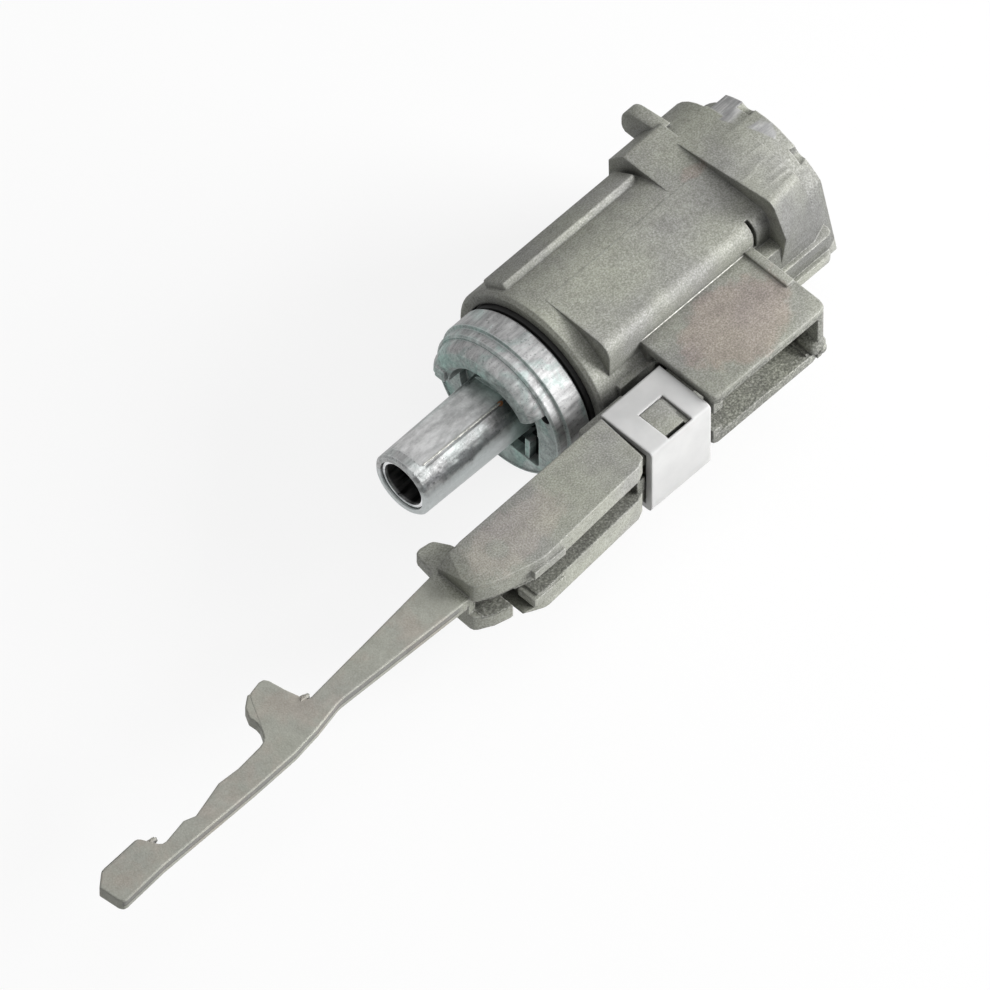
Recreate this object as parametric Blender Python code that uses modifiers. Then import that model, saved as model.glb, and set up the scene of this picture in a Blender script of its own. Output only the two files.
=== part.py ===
"""Ignition lock cylinder: cast barrel, turning plug with collar and hollow shaft, and a hinged side lever.

The part lies on its flat underside, whose middle is the origin. The cylinder axis runs along +X from the key face,
and the lever lies on the +Y side. Positions along the axis are measured from the key face, and those across it from
the axis. Sizes are metres; MM turns the drawing's millimetres into them.
"""

import math

import bmesh
import bpy
from mathutils import Vector

MM = 0.001

# General fits
SEAT_GAP = 0.3 * MM          # between pieces that touch
RUN_GAP = 0.3 * MM           # between pieces that slide or turn

# Barrel of the housing
AXIS_HEIGHT = 14.2 * MM      # axis above the flat underside
UNDERSIDE_MIDDLE = 22.0 * MM  # from the key face to the middle of the flat underside
BARREL_R = 13.6 * MM
NOSE_X = 44.2 * MM           # front face of the round nose
BODY_END_X = NOSE_X - 3.0 * MM  # where the square-topped body stops behind the nose
BODY_TOP = BARREL_R + 0.02 * MM
BODY_SIDE_Y = 11.2 * MM
BODY_CORNER_R = 2.2 * MM
BASE_HALF_WIDTH = 9.0 * MM

# Key end of the housing
RIM_R = 14.4 * MM            # band turned on the head's front
RIM_BAND_LEN = 3.4 * MM
RIM_STEP_X = 3.7 * MM        # back of the relieved part of the rim
RIM_STEP_R = 12.8 * MM
RIM_STEP_ANGLES = (120, 255)  # where it is relieved, in degrees from +Y over the top
HEAD_SIDE_Y = 13.7 * MM
HEAD_TOP = 14.6 * MM         # above the axis, in the middle
HEAD_TOP_SLOPE = 0.18        # the head's top rises towards the lever
HEAD_CORNER_Y = 11.6 * MM
HEAD_CORNER_R = 9.0 * MM     # round corner above the ear
HEAD_FRONT_R = 14.1 * MM     # the head narrows to this at the key face, beside the lever
FLANGE_X = 10.8 * MM         # back of the head, where the body starts
EAR_THICK = 2.2 * MM
EAR_Y = -16.0 * MM
EAR_BOTTOM = 7.1 * MM
FIN_ROOT_Y = 10.6 * MM
FIN_Y = 14.2 * MM
FIN_THICK = 1.7 * MM
FIN_LEVELS = (3.05 * MM, -1.45 * MM)
FIN_START_X = 1.6 * MM

# Side rail and shoulder pad on the far side of the barrel
RAIL_ANGLE = math.radians(36)
RAIL_WIDTH = 4.6 * MM
RAIL_R = 14.5 * MM
RAIL_START_X = 18.0 * MM
RAIL_END_X = NOSE_X - 1.2 * MM
PAD_END_X = 17.3 * MM
PAD_TOP = BARREL_R - 0.06 * MM

# Lever pocket cast on the side of the barrel
POCKET_X0 = 14.0 * MM
POCKET_X1 = 35.3 * MM
POCKET_TOP = 9.7 * MM
POCKET_BOTTOM = -0.7 * MM
POCKET_WALL = 1.6 * MM
POCKET_MOUTH_Y = 24.8 * MM
POCKET_BACK_Y = 12.5 * MM
POCKET_CORNER_R = 1.4 * MM
LEDGE_X1 = 40.9 * MM
LEDGE_TOP = 6.3 * MM
LEDGE_Y = 13.0 * MM

# Plug and what turns with it
PLUG_R = 8.0 * MM
PLUG_X0 = 2.6 * MM
PLUG_NECK_R = 6.0 * MM
PLUG_NECK_LEN = 3.2 * MM
KEYWAY_WIDTH = 2.8 * MM
KEYWAY_HEIGHT = 9.8 * MM
KEYWAY_END_X = 36.0 * MM
CAP_R = 10.7 * MM
CAP_THICK = 1.6 * MM
CAP_INSET = 0.4 * MM

# Wafers
WAFER_COUNT = 6
WAFER_FIRST_X = 11.5 * MM
WAFER_PITCH = 4.0 * MM
WAFER_THICK = 1.3 * MM
WAFER_WIDTH = 7.4 * MM
WAFER_TOP = 7.3 * MM
WAFER_BOTTOM = -6.7 * MM
WAFER_TRAVEL = 0.6 * MM
WAFER_EAR_OUT = 2.4 * MM
WAFER_EAR_THICK = 1.3 * MM
WAFER_EAR_Z = 1.2 * MM
SPRING_R = 0.8 * MM
SPRING_WIRE_R = 0.16 * MM
SPRING_POCKET_Z = -2.6 * MM

# Collar, washer, clip and hollow shaft behind the nose
COLLAR_GAP = 1.0 * MM
COLLAR_R = 11.8 * MM
COLLAR_BAND = 4.0 * MM
COLLAR_LIP = 1.6 * MM
RIB_R = 8.9 * MM             # middle of the raised rib
RIB_HALF = 1.7 * MM
RIB_RISE = 2.3 * MM
RIB_ENDS = (35, 177)         # the rib's two ends, in degrees from +Y over the top
COLLAR_FACE_DEPTH = 1.5 * MM
WASHER_OUT_R = 11.5 * MM
WASHER_IN_R = 9.5 * MM
WASHER_THICK = 1.1 * MM
NOSE_RECESS = 0.8 * MM
RETAINER_OUT_R = 9.1 * MM
RETAINER_THICK = 1.0 * MM
SHAFT_END_X = 69.0 * MM
SHAFT_ROOT_R = 5.1 * MM
SHAFT_TIP_R = 4.85 * MM
SHAFT_FLAT = 4.1 * MM        # distance of the flat from the axis
SHAFT_FLAT_ANGLE = math.radians(9.5)
SHAFT_RING = 1.7 * MM        # full-round ring at the shaft's end
LINER_IN_R = 3.35 * MM
LINER_OUT_R = 3.75 * MM
LINER_GAP = 0.15 * MM
LINER_LEN = 12.0 * MM
PIN_R = 0.7 * MM
PIN_CIRCLE_R = 9.8 * MM
PIN_ANGLE = math.radians(30)

# Shutter behind the key slot
SHUTTER_THICK = 0.5 * MM
SHUTTER_HALF_WIDTH = 2.0 * MM
SHUTTER_HALF_HEIGHT = 4.9 * MM
SHUTTER_HINGE_Y = 2.7 * MM
SHUTTER_HINGE_X = 3.6 * MM
KNUCKLE_R = 0.8 * MM
SHUTTER_PIN_R = 0.35 * MM
SHUTTER_BAY_DEPTH = 6.2 * MM

# Lever casting
PIVOT_X = 19.5 * MM
PIVOT_Y = 17.0 * MM
PIVOT_PIN_R = 1.25 * MM
TONGUE_Y0 = 14.5 * MM
TONGUE_Y1 = 19.6 * MM
TONGUE_BOTTOM = 1.6 * MM
TONGUE_THICK = 3.6 * MM
TONGUE_END_R = 3.0 * MM
ARM_TOP = 8.6 * MM
ARM_BOTTOM = -3.1 * MM
ARM_X0 = 47.3 * MM
ARM_LEN = 31.3 * MM
ARM_TOP_PLATE = 3.3 * MM
ARM_BOTTOM_PLATE = 4.2 * MM
ARM_TIP_LIFT = 1.9 * MM      # the underside is higher at the arm's tip
ARM_WEB_Y = 19.4 * MM
SLOT_LEN = 22.9 * MM         # the cored side of the arm, from its clip end
BLADE_TOP = 5.5 * MM
BLADE_THICK = 2.0 * MM
BLADE_LEN = 66.9 * MM        # from the arm's tip
HOOK_AT = 29.2 * MM          # valley before the hook, from the arm's tip
NECK_Y0 = 13.4 * MM
NECK_HEEL_X = 49.4 * MM
NECK_HEEL_TOP = 6.0 * MM

# Nylon clip on the lever's neck
CLIP_X0 = 35.9 * MM
CLIP_LEN = 11.2 * MM
CLIP_TOP = 8.75 * MM
CLIP_BOTTOM = -4.0 * MM
CLIP_Y0 = 15.2 * MM
CLIP_Y1 = 24.6 * MM
CLIP_WALL = 1.05 * MM
WINDOW_X0 = 39.1 * MM
WINDOW_LEN = 4.5 * MM
WINDOW_Y0 = 18.8 * MM

# Follower between key and lever
FOLLOWER_X = 30.0 * MM
FOLLOWER_WIDTH = 2.8 * MM
FOLLOWER_Z = 3.6 * MM
FOLLOWER_HEIGHT = 2.2 * MM

ROUND_STEPS = 64
SMALL_STEPS = 24
ARC_STEP = 0.45 * MM         # about how long one straight step of a rounded corner is

ARM_TIP_X = ARM_X0 + ARM_LEN
HOOK_X = ARM_TIP_X + HOOK_AT
BLADE_END_X = ARM_TIP_X + BLADE_LEN
COLLAR_X = NOSE_X + COLLAR_GAP
COLLAR_FRONT_X = COLLAR_X + COLLAR_BAND + COLLAR_LIP
BORE_R = PLUG_R + RUN_GAP
PLUG_X1 = NOSE_X - NOSE_RECESS + SEAT_GAP
PLUG_END_X = PLUG_X1 + PLUG_NECK_LEN
NECK_Y1 = CLIP_Y1 - CLIP_WALL - SEAT_GAP
NECK_TOP = CLIP_TOP - CLIP_WALL - SEAT_GAP
NECK_BOTTOM = CLIP_BOTTOM + CLIP_WALL + SEAT_GAP

# Start with an empty scene
for leftover in list(bpy.data.objects):
    bpy.data.objects.remove(leftover, do_unlink=True)

parts = bpy.data.collections.new("ignition_lock_cylinder")
tools = bpy.data.collections.new("cutters")
bpy.context.scene.collection.children.link(parts)
bpy.context.scene.collection.children.link(tools)

lock_axis = bpy.data.objects.new("lock_axis", None)
lock_axis.empty_display_size = 0.01
lock_axis.location = (-UNDERSIDE_MIDDLE, 0.0, AXIS_HEIGHT)
parts.objects.link(lock_axis)

FACING_X = (0.0, math.pi / 2, 0.0)            # local Z turned to world X
SECTION_YZ = (math.pi / 2, 0.0, math.pi / 2)  # local XY turned to world YZ


def surface(name, colour, roughness, metallic):
    """A plain Principled material"""
    mat = bpy.data.materials.new(name)
    mat.use_nodes = True
    shader = mat.node_tree.nodes["Principled BSDF"]
    shader.inputs["Base Color"].default_value = (*colour, 1.0)
    shader.inputs["Roughness"].default_value = roughness
    shader.inputs["Metallic"].default_value = metallic
    return mat


CAST_ZINC = (0.33, 0.33, 0.29)
BRIGHT_ZINC = (0.58, 0.6, 0.6)
STEEL = (0.5, 0.5, 0.52)
BRASS = (0.62, 0.47, 0.2)
NYLON = (0.86, 0.86, 0.85)
BLACK = (0.02, 0.02, 0.02)


def place(name, mesh, location=(0, 0, 0), rotation=(0, 0, 0)):
    """A new object on the lock axis's frame"""
    obj = bpy.data.objects.new(name, mesh)
    parts.objects.link(obj)
    obj.parent = lock_axis
    obj.location = location
    obj.rotation_euler = rotation
    return obj


def box(name, x_span, y_span, z_span, edge=0.0):
    """A block between the given limits, with its edges rounded by edge"""
    spans = (x_span, y_span, z_span)
    mesh = bpy.data.meshes.new(name)
    bm = bmesh.new()
    bmesh.ops.create_cube(bm, size=1.0)
    bmesh.ops.scale(bm, vec=[high - low for low, high in spans], verts=bm.verts)
    bm.to_mesh(mesh)
    bm.free()
    obj = place(name, mesh, [(low + high) / 2 for low, high in spans])
    if edge:
        round_edges(obj, edge)
    return obj


def round_edges(obj, width, segments=2):
    """A Bevel modifier on the sharp edges"""
    bevel = obj.modifiers.new("rounded_edges", "BEVEL")
    bevel.width = width
    bevel.segments = segments
    bevel.limit_method = "ANGLE"
    bevel.angle_limit = math.radians(40)
    return bevel


def cylinder(name, radius, low, high, at=(0.0, 0.0), axis="X", steps=ROUND_STEPS, end_radius=None):
    """A rod from low to high along an axis; at holds its other two coordinates"""
    mesh = bpy.data.meshes.new(name)
    bm = bmesh.new()
    radius_2 = radius if end_radius is None else end_radius
    bmesh.ops.create_cone(
        bm, cap_ends=True, segments=steps, radius1=radius, radius2=radius_2, depth=high - low
    )
    bm.to_mesh(mesh)
    bm.free()
    middle = (low + high) / 2
    if axis == "X":
        return place(name, mesh, (middle, at[0], at[1]), FACING_X)
    if axis == "Y":
        return place(name, mesh, (at[0], middle, at[1]), (-math.pi / 2, 0.0, 0.0))
    return place(name, mesh, (at[0], at[1], middle))


def turned(name, profile, steps=ROUND_STEPS):
    """A turned piece on the lock axis: (x, radius) pairs, from the tail end's axis back to the key end's"""
    mesh = bpy.data.meshes.new(name)
    bm = bmesh.new()
    ring = [bm.verts.new((radius, 0.0, x)) for x, radius in profile]
    for first, second in zip(ring, ring[1:]):
        bm.edges.new((first, second))
    if profile[0][1] > 0.0:
        bm.edges.new((ring[-1], ring[0]))
    bm.to_mesh(mesh)
    bm.free()
    obj = place(name, mesh, (0, 0, 0), FACING_X)
    screw = obj.modifiers.new("turn", "SCREW")
    screw.axis = "Z"
    screw.angle = math.tau
    screw.steps = steps
    screw.render_steps = steps
    screw.use_merge_vertices = True
    screw.merge_threshold = 0.000005
    screw.use_smooth_shade = False
    return obj


def fillet(corner_points, steps=4):
    """A closed outline from (u, v) or (u, v, radius) corners; each radius becomes an arc"""
    outline = []
    count = len(corner_points)
    for index, corner in enumerate(corner_points):
        here = Vector(corner[:2])
        if len(corner) == 2:
            outline.append(here)
            continue
        back = (Vector(corner_points[index - 1][:2]) - here).normalized()
        ahead = (Vector(corner_points[(index + 1) % count][:2]) - here).normalized()
        half = back.angle(ahead) / 2
        centre = here + (back + ahead).normalized() * (corner[2] / math.sin(half))
        reach = corner[2] / math.tan(half)
        start = here + back * reach - centre
        end = here + ahead * reach - centre
        first = math.atan2(start.y, start.x)
        sweep = (math.atan2(end.y, end.x) - first + math.pi) % math.tau - math.pi
        parts_of_arc = max(2, min(steps, round(corner[2] / ARC_STEP)))
        for step in range(parts_of_arc + 1):
            angle = first + sweep * step / parts_of_arc
            outline.append(centre + Vector((math.cos(angle), math.sin(angle))) * corner[2])
    return outline


def divided(outline, longest):
    """The same closed outline with more points, none further apart than longest"""
    points = []
    for here, ahead in zip(outline, outline[1:] + outline[:1]):
        count = max(1, math.ceil((ahead - here).length / longest))
        points += [here.lerp(ahead, index / count) for index in range(count)]
    return points


def plate(name, corner_points, low, high, rotation=(0, 0, 0), origin=(0, 0), steps=4, longest=None):
    """A flat outline with thickness from low to high: seen from above, or across the axis"""
    curve = bpy.data.curves.new(name, "CURVE")
    curve.dimensions = "2D"
    curve.fill_mode = "BOTH"
    curve.extrude = (high - low) / 2
    points = fillet(corner_points, steps)
    if longest:
        points = divided(points, longest)
    spline = curve.splines.new("POLY")
    spline.points.add(len(points) - 1)
    for slot, point in zip(spline.points, points):
        slot.co = (point.x - origin[0], point.y - origin[1], 0.0, 1.0)
    spline.use_cyclic_u = True
    holder = bpy.data.objects.new(name + "_outline", curve)
    parts.objects.link(holder)
    bpy.context.view_layer.update()
    graph = bpy.context.evaluated_depsgraph_get()
    mesh = bpy.data.meshes.new_from_object(holder.evaluated_get(graph))
    bpy.data.objects.remove(holder, do_unlink=True)
    bm = bmesh.new()
    bm.from_mesh(mesh)
    bmesh.ops.remove_doubles(bm, verts=bm.verts, dist=0.000002)
    if longest:
        flat = {face for face in bm.faces if len({round(corner.co.z, 7) for corner in face.verts}) == 1}
        inner = [edge for edge in bm.edges if edge.link_faces and flat.issuperset(edge.link_faces)]
        bmesh.ops.dissolve_edges(bm, edges=inner, use_verts=False)
    bmesh.ops.recalc_face_normals(bm, faces=bm.faces)
    bm.to_mesh(mesh)
    bm.free()
    mesh.name = name
    middle = (low + high) / 2
    if rotation == SECTION_YZ:
        return place(name, mesh, (middle, origin[0], origin[1]), rotation)
    return place(name, mesh, (origin[0], origin[1], middle), rotation)


def combine(target, tool, operation):
    """A Boolean modifier; the tool moves to the cutters collection"""
    step = target.modifiers.new(tool.name, "BOOLEAN")
    step.operation = operation
    step.solver = "EXACT"
    step.object = tool
    parts.objects.unlink(tool)
    tools.objects.link(tool)
    tool.hide_render = True
    tool.display_type = "WIRE"


def add(target, *pieces):
    for piece in pieces:
        combine(target, piece, "UNION")


def cut(target, *pieces):
    for piece in pieces:
        combine(target, piece, "DIFFERENCE")


def slab(name, point, facing, size=60.0 * MM):
    """A cutting block with one face through point, lying on the side that facing points to"""
    block = box(name, (-size / 2, size / 2), (-size / 2, size / 2), (-size / 2, size / 2))
    facing = Vector(facing).normalized()
    block.location = Vector(point) + facing * size / 2
    block.rotation_mode = "QUATERNION"
    block.rotation_quaternion = facing.to_track_quat("Z", "Y")
    return block


def arc(radius, first, last, step=5.625):
    """Points on a circle round the axis, seen along it; degrees from +Y over the top"""
    count = max(2, round(abs(last - first) / step))
    angles = [math.radians(first + (last - first) * index / count) for index in range(count + 1)]
    return [(radius * math.cos(angle), radius * math.sin(angle)) for angle in angles]


def coil(name, radius, wire_r, low, high, turns, at, axis="Z", sides=6, per_turn=10):
    """A helical spring as one closed wire, with its ends flat"""
    curve = bpy.data.curves.new(name, "CURVE")
    curve.dimensions = "3D"
    curve.bevel_depth = wire_r
    curve.bevel_resolution = max(0, sides // 2 - 2)
    curve.use_fill_caps = True
    length = high - low - 2 * wire_r
    total = turns * per_turn
    spline = curve.splines.new("POLY")
    spline.points.add(total)
    for index, slot in enumerate(spline.points):
        turn = math.tau * index / per_turn
        rise = length * index / total - length / 2
        slot.co = (radius * math.cos(turn), radius * math.sin(turn), rise, 1.0)
    holder = bpy.data.objects.new(name + "_wire", curve)
    parts.objects.link(holder)
    bpy.context.view_layer.update()
    graph = bpy.context.evaluated_depsgraph_get()
    mesh = bpy.data.meshes.new_from_object(holder.evaluated_get(graph))
    bpy.data.objects.remove(holder, do_unlink=True)
    bm = bmesh.new()
    bm.from_mesh(mesh)
    bmesh.ops.remove_doubles(bm, verts=bm.verts, dist=0.000002)
    bmesh.ops.recalc_face_normals(bm, faces=bm.faces)
    bm.to_mesh(mesh)
    bm.free()
    mesh.name = name
    return place(name, mesh, (at[0], at[1], (low + high) / 2))


# Housing: barrel and nose, with the square-topped body blended into the round
zinc = surface("cast_zinc", CAST_ZINC, 0.62, 0.75)
nose_chamfer = 0.5 * MM
CAP_SEAT_X = CAP_INSET + CAP_THICK + SEAT_GAP
cored_r = PLUG_R - 0.4 * MM
ring_start_x = CAP_SEAT_X + 0.5 * MM
neck_back_x = FLANGE_X - 1.2 * MM
housing = turned("housing", [
    (NOSE_X - NOSE_RECESS, cored_r),
    (NOSE_X - NOSE_RECESS, WASHER_OUT_R + SEAT_GAP),
    (NOSE_X, WASHER_OUT_R + SEAT_GAP),
    (NOSE_X, BARREL_R - nose_chamfer),
    (NOSE_X - nose_chamfer, BARREL_R),
    (neck_back_x, BARREL_R),
    (neck_back_x, RIM_STEP_R - 0.6 * MM),
    (ring_start_x, RIM_STEP_R - 0.6 * MM),
    (ring_start_x, cored_r),
])
housing.data.materials.append(zinc)
UNDERSIDE = -AXIS_HEIGHT

body_top = plate("body_top", [
    (-0.5 * MM, 0.0),
    (BODY_SIDE_Y, 0.0),
    (BODY_SIDE_Y, BODY_TOP, BODY_CORNER_R),
    (-0.5 * MM, BODY_TOP),
], FLANGE_X - 1.6 * MM, BODY_END_X, SECTION_YZ)
base_chamfer = 1.6 * MM
spare = 0.5 * MM
body_base = plate("body_base", [
    (-BASE_HALF_WIDTH, UNDERSIDE + base_chamfer),
    (-BASE_HALF_WIDTH + base_chamfer + spare, UNDERSIDE - spare),
    (BASE_HALF_WIDTH - base_chamfer - spare, UNDERSIDE - spare),
    (BASE_HALF_WIDTH, UNDERSIDE + base_chamfer),
    (BASE_HALF_WIDTH, -6.0 * MM),
    (-BASE_HALF_WIDTH, -6.0 * MM),
], FLANGE_X - 1.4 * MM, BODY_END_X - 0.2 * MM, SECTION_YZ)
shoulder_pad = plate("shoulder_pad", [
    (-11.9 * MM, 5.0 * MM),
    (3.0 * MM, 5.0 * MM),
    (3.0 * MM, PAD_TOP),
    (-9.5 * MM, PAD_TOP, 0.6 * MM),
    (-12.0 * MM, 10.5 * MM, 0.6 * MM),
], FLANGE_X - 1.0 * MM, PAD_END_X, SECTION_YZ)
side_rail = box(
    "side_rail",
    (RAIL_START_X, RAIL_END_X),
    (-RAIL_WIDTH / 2, RAIL_WIDTH / 2),
    (RAIL_R - 4.5 * MM, RAIL_R),
)
rail_mid = RAIL_R - 2.25 * MM
side_rail.location = (
    (RAIL_START_X + RAIL_END_X) / 2,
    -rail_mid * math.sin(RAIL_ANGLE),
    rail_mid * math.cos(RAIL_ANGLE),
)
side_rail.rotation_euler = (RAIL_ANGLE, 0.0, 0.0)
round_edges(side_rail, 0.35 * MM)
add(housing, body_top, body_base, shoulder_pad, side_rail)

# Housing: squarish head that narrows to the key face, with a turned band, a slanted side and an ear
def head_top(y):
    """Height of the head's top above the axis"""
    return HEAD_TOP + HEAD_TOP_SLOPE * y


head = plate("head", [
    (-HEAD_SIDE_Y, head_top(-HEAD_SIDE_Y), HEAD_CORNER_R),
    (-HEAD_SIDE_Y, -6.0 * MM),
    (-8.0 * MM, UNDERSIDE - spare),
    (7.0 * MM, UNDERSIDE - spare),
    (13.4 * MM, -2.1 * MM),
    (13.4 * MM, 5.0 * MM),
    (14.2 * MM, 11.0 * MM),
    (HEAD_CORNER_Y, head_top(HEAD_CORNER_Y), 1.4 * MM),
], 0.0, FLANGE_X, SECTION_YZ, steps=8, longest=1.6 * MM)
for corner in head.data.vertices:
    reach = corner.co.xy.length
    if corner.co.z < 0.0 and reach > HEAD_FRONT_R:
        share = min(1.0, max(0.0, (corner.co.x + 5.0 * MM) / (9.0 * MM)))
        corner.co.xy *= 1.0 + (HEAD_FRONT_R / reach - 1.0) * share
head_side = slab("head_side", (0.0, 12.05 * MM, 2.2 * MM), (-0.359, 0.906, 0.224))
rim_relief = plate(
    "rim_relief",
    arc(RIM_STEP_R, *RIM_STEP_ANGLES) + arc(RIM_R + 5.0 * MM, *reversed(RIM_STEP_ANGLES)),
    -1.0 * MM, RIM_STEP_X, SECTION_YZ,
)
rim_band = plate(
    "rim_band",
    arc(RIM_R, 35, 128, 3.0) + arc(RIM_R + 5.0 * MM, 128, 35),
    -1.2 * MM, RIM_BAND_LEN, SECTION_YZ,
)
cut(head, head_side, rim_band, rim_relief)
ear = plate("ear", [
    (EAR_Y, EAR_BOTTOM, 1.2 * MM),
    (-9.0 * MM, EAR_BOTTOM),
    (-9.0 * MM, head_top(-9.0 * MM) - 0.02 * MM),
    (EAR_Y, head_top(EAR_Y), 2.6 * MM),
], FLANGE_X - EAR_THICK, FLANGE_X - 0.02 * MM, SECTION_YZ, steps=6)
round_edges(ear, 0.3 * MM)
under = box(
    "underside_trim",
    (-2.0 * MM, NOSE_X + 1.0 * MM),
    (-20.0 * MM, 20.0 * MM),
    (UNDERSIDE - 5.0 * MM, UNDERSIDE),
)
add(housing, head, ear)
cut(housing, under)
for level in FIN_LEVELS:
    fin = plate(f"fin_{FIN_LEVELS.index(level) + 1}", [
        (FIN_START_X, FIN_Y, 1.0 * MM),
        (POCKET_X0 + 0.6 * MM, FIN_Y),
        (POCKET_X0 + 0.6 * MM, FIN_ROOT_Y),
        (FIN_START_X, FIN_ROOT_Y),
    ], level - FIN_THICK / 2, level + FIN_THICK / 2)
    round_edges(fin, 0.3 * MM)
    add(housing, fin)
side_block = box(
    "side_block",
    (FLANGE_X - 0.5 * MM, POCKET_X0 + 0.5 * MM),
    (8.0 * MM, 13.4 * MM),
    (1.0 * MM, 8.6 * MM),
    edge=0.3 * MM,
)
add(housing, side_block)

# Housing: the lever's pocket, a channel open towards +Y
pocket_top = plate("pocket_top", [
    (POCKET_X0, 8.0 * MM),
    (POCKET_X1, 8.0 * MM),
    (POCKET_X1, POCKET_MOUTH_Y, 0.8 * MM),
    (POCKET_X0, POCKET_MOUTH_Y, POCKET_CORNER_R),
], POCKET_TOP - POCKET_WALL, POCKET_TOP, steps=6)
round_edges(pocket_top, 0.4 * MM)
pocket_floor = plate("pocket_floor", [
    (POCKET_X0 + 1.0 * MM, 8.0 * MM),
    (POCKET_X1, 8.0 * MM),
    (POCKET_X1, POCKET_MOUTH_Y - 0.2 * MM, 0.8 * MM),
    (POCKET_X0 + 1.0 * MM, POCKET_MOUTH_Y - 0.2 * MM, 1.5 * MM),
], POCKET_BOTTOM, POCKET_BOTTOM + POCKET_WALL)
pocket_back = box(
    "pocket_back",
    (POCKET_X0 + 0.05 * MM, POCKET_X1 - 0.05 * MM),
    (7.0 * MM, POCKET_BACK_Y),
    (POCKET_BOTTOM + 0.05 * MM, POCKET_TOP - 0.05 * MM),
)
pocket_end = plate("pocket_end", [
    (POCKET_X0 + 0.1 * MM, 9.0 * MM),
    (POCKET_X0 + POCKET_WALL + 0.1 * MM, 9.0 * MM),
    (POCKET_X0 + POCKET_WALL + 0.1 * MM, POCKET_MOUTH_Y - 0.1 * MM),
    (POCKET_X0 + 0.1 * MM, POCKET_MOUTH_Y - 0.1 * MM, 0.9 * MM),
], POCKET_BOTTOM + 0.1 * MM, POCKET_TOP - 0.1 * MM)
end_bead = cylinder(
    "end_bead", 1.5 * MM, POCKET_MOUTH_Y - 3.2 * MM, POCKET_MOUTH_Y + 0.1 * MM,
    (POCKET_X0 + 1.4 * MM, 1.7 * MM), "Y", SMALL_STEPS,
)
round_edges(end_bead, 0.7 * MM, 3)
floor_step = box(
    "floor_step",
    (POCKET_X0 + 1.2 * MM, POCKET_X0 + 3.4 * MM),
    (POCKET_BACK_Y - 0.5 * MM, POCKET_MOUTH_Y - 0.6 * MM),
    (POCKET_BOTTOM + 0.5 * MM, POCKET_BOTTOM + POCKET_WALL + 0.35 * MM),
)
post_y = (POCKET_MOUTH_Y - 2.3 * MM, POCKET_MOUTH_Y - 0.4 * MM)
post_x = (POCKET_X1 - 1.8 * MM, POCKET_X1 - 0.15 * MM)
upper_post = box(
    "upper_post", post_x, post_y, (POCKET_TOP - POCKET_WALL - 2.2 * MM, POCKET_TOP - 0.8 * MM)
)
lower_post = box(
    "lower_post", post_x, post_y, (POCKET_BOTTOM + 0.8 * MM, POCKET_BOTTOM + POCKET_WALL + 1.0 * MM)
)
top_border = box(
    "top_border",
    (POCKET_X0 + 0.2 * MM, POCKET_X0 + 1.7 * MM),
    (10.0 * MM, 19.0 * MM),
    (POCKET_TOP - 0.8 * MM, POCKET_TOP + 0.5 * MM),
    edge=0.2 * MM,
)
ledge = box(
    "ledge",
    (POCKET_X1 - 1.0 * MM, LEDGE_X1),
    (9.0 * MM, LEDGE_Y),
    (1.0 * MM, LEDGE_TOP),
    edge=0.3 * MM,
)
add(housing, pocket_back, pocket_top, pocket_floor, pocket_end, end_bead, floor_step)
add(housing, upper_post, lower_post, top_border, ledge)

# Housing: bore, recesses and holes
bore = cylinder("plug_bore", BORE_R, -1.0 * MM, NOSE_X + 1.0 * MM)
cap_recess = cylinder("cap_recess", CAP_R + SEAT_GAP, -1.0 * MM, CAP_SEAT_X)
wafer_channel = box(
    "wafer_channel",
    (WAFER_FIRST_X - 2.0 * MM, WAFER_FIRST_X + WAFER_PITCH * (WAFER_COUNT - 1) + 2.0 * MM),
    (-WAFER_WIDTH / 2 - SEAT_GAP, WAFER_WIDTH / 2 + SEAT_GAP),
    (-10.4 * MM, 10.4 * MM),
)
follower_slot = box(
    "follower_slot",
    (FOLLOWER_X - FOLLOWER_WIDTH / 2 - RUN_GAP, FOLLOWER_X + FOLLOWER_WIDTH / 2 + RUN_GAP),
    (6.0 * MM, BARREL_R + 0.5 * MM),
    (FOLLOWER_Z - FOLLOWER_HEIGHT / 2 - RUN_GAP, FOLLOWER_Z + FOLLOWER_HEIGHT / 2 + RUN_GAP),
)
PIN_HOLE_TOP = POCKET_TOP - 0.6 * MM
pivot_hole = cylinder(
    "pivot_hole", PIVOT_PIN_R + RUN_GAP, POCKET_BOTTOM - 1.0 * MM, PIN_HOLE_TOP,
    (PIVOT_X, PIVOT_Y), "Z", SMALL_STEPS,
)
corner_slit = box(
    "corner_slit",
    (13.3 * MM, 13.9 * MM),
    (BODY_SIDE_Y - 1.8 * MM, BODY_SIDE_Y + 3.0 * MM),
    (9.2 * MM, 15.0 * MM),
)
rim_notches = [
    cylinder(
        f"rim_notch_{index + 1}", 1.5 * MM, -1.0 * MM, 1.2 * MM,
        arc(RIM_R + 0.75 * MM, angle, angle)[0], "X", SMALL_STEPS,
    )
    for index, angle in enumerate((102, 63))
]
cut(housing, wafer_channel, follower_slot, pivot_hole, corner_slit, bore, cap_recess)
cut(housing, *rim_notches)

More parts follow.
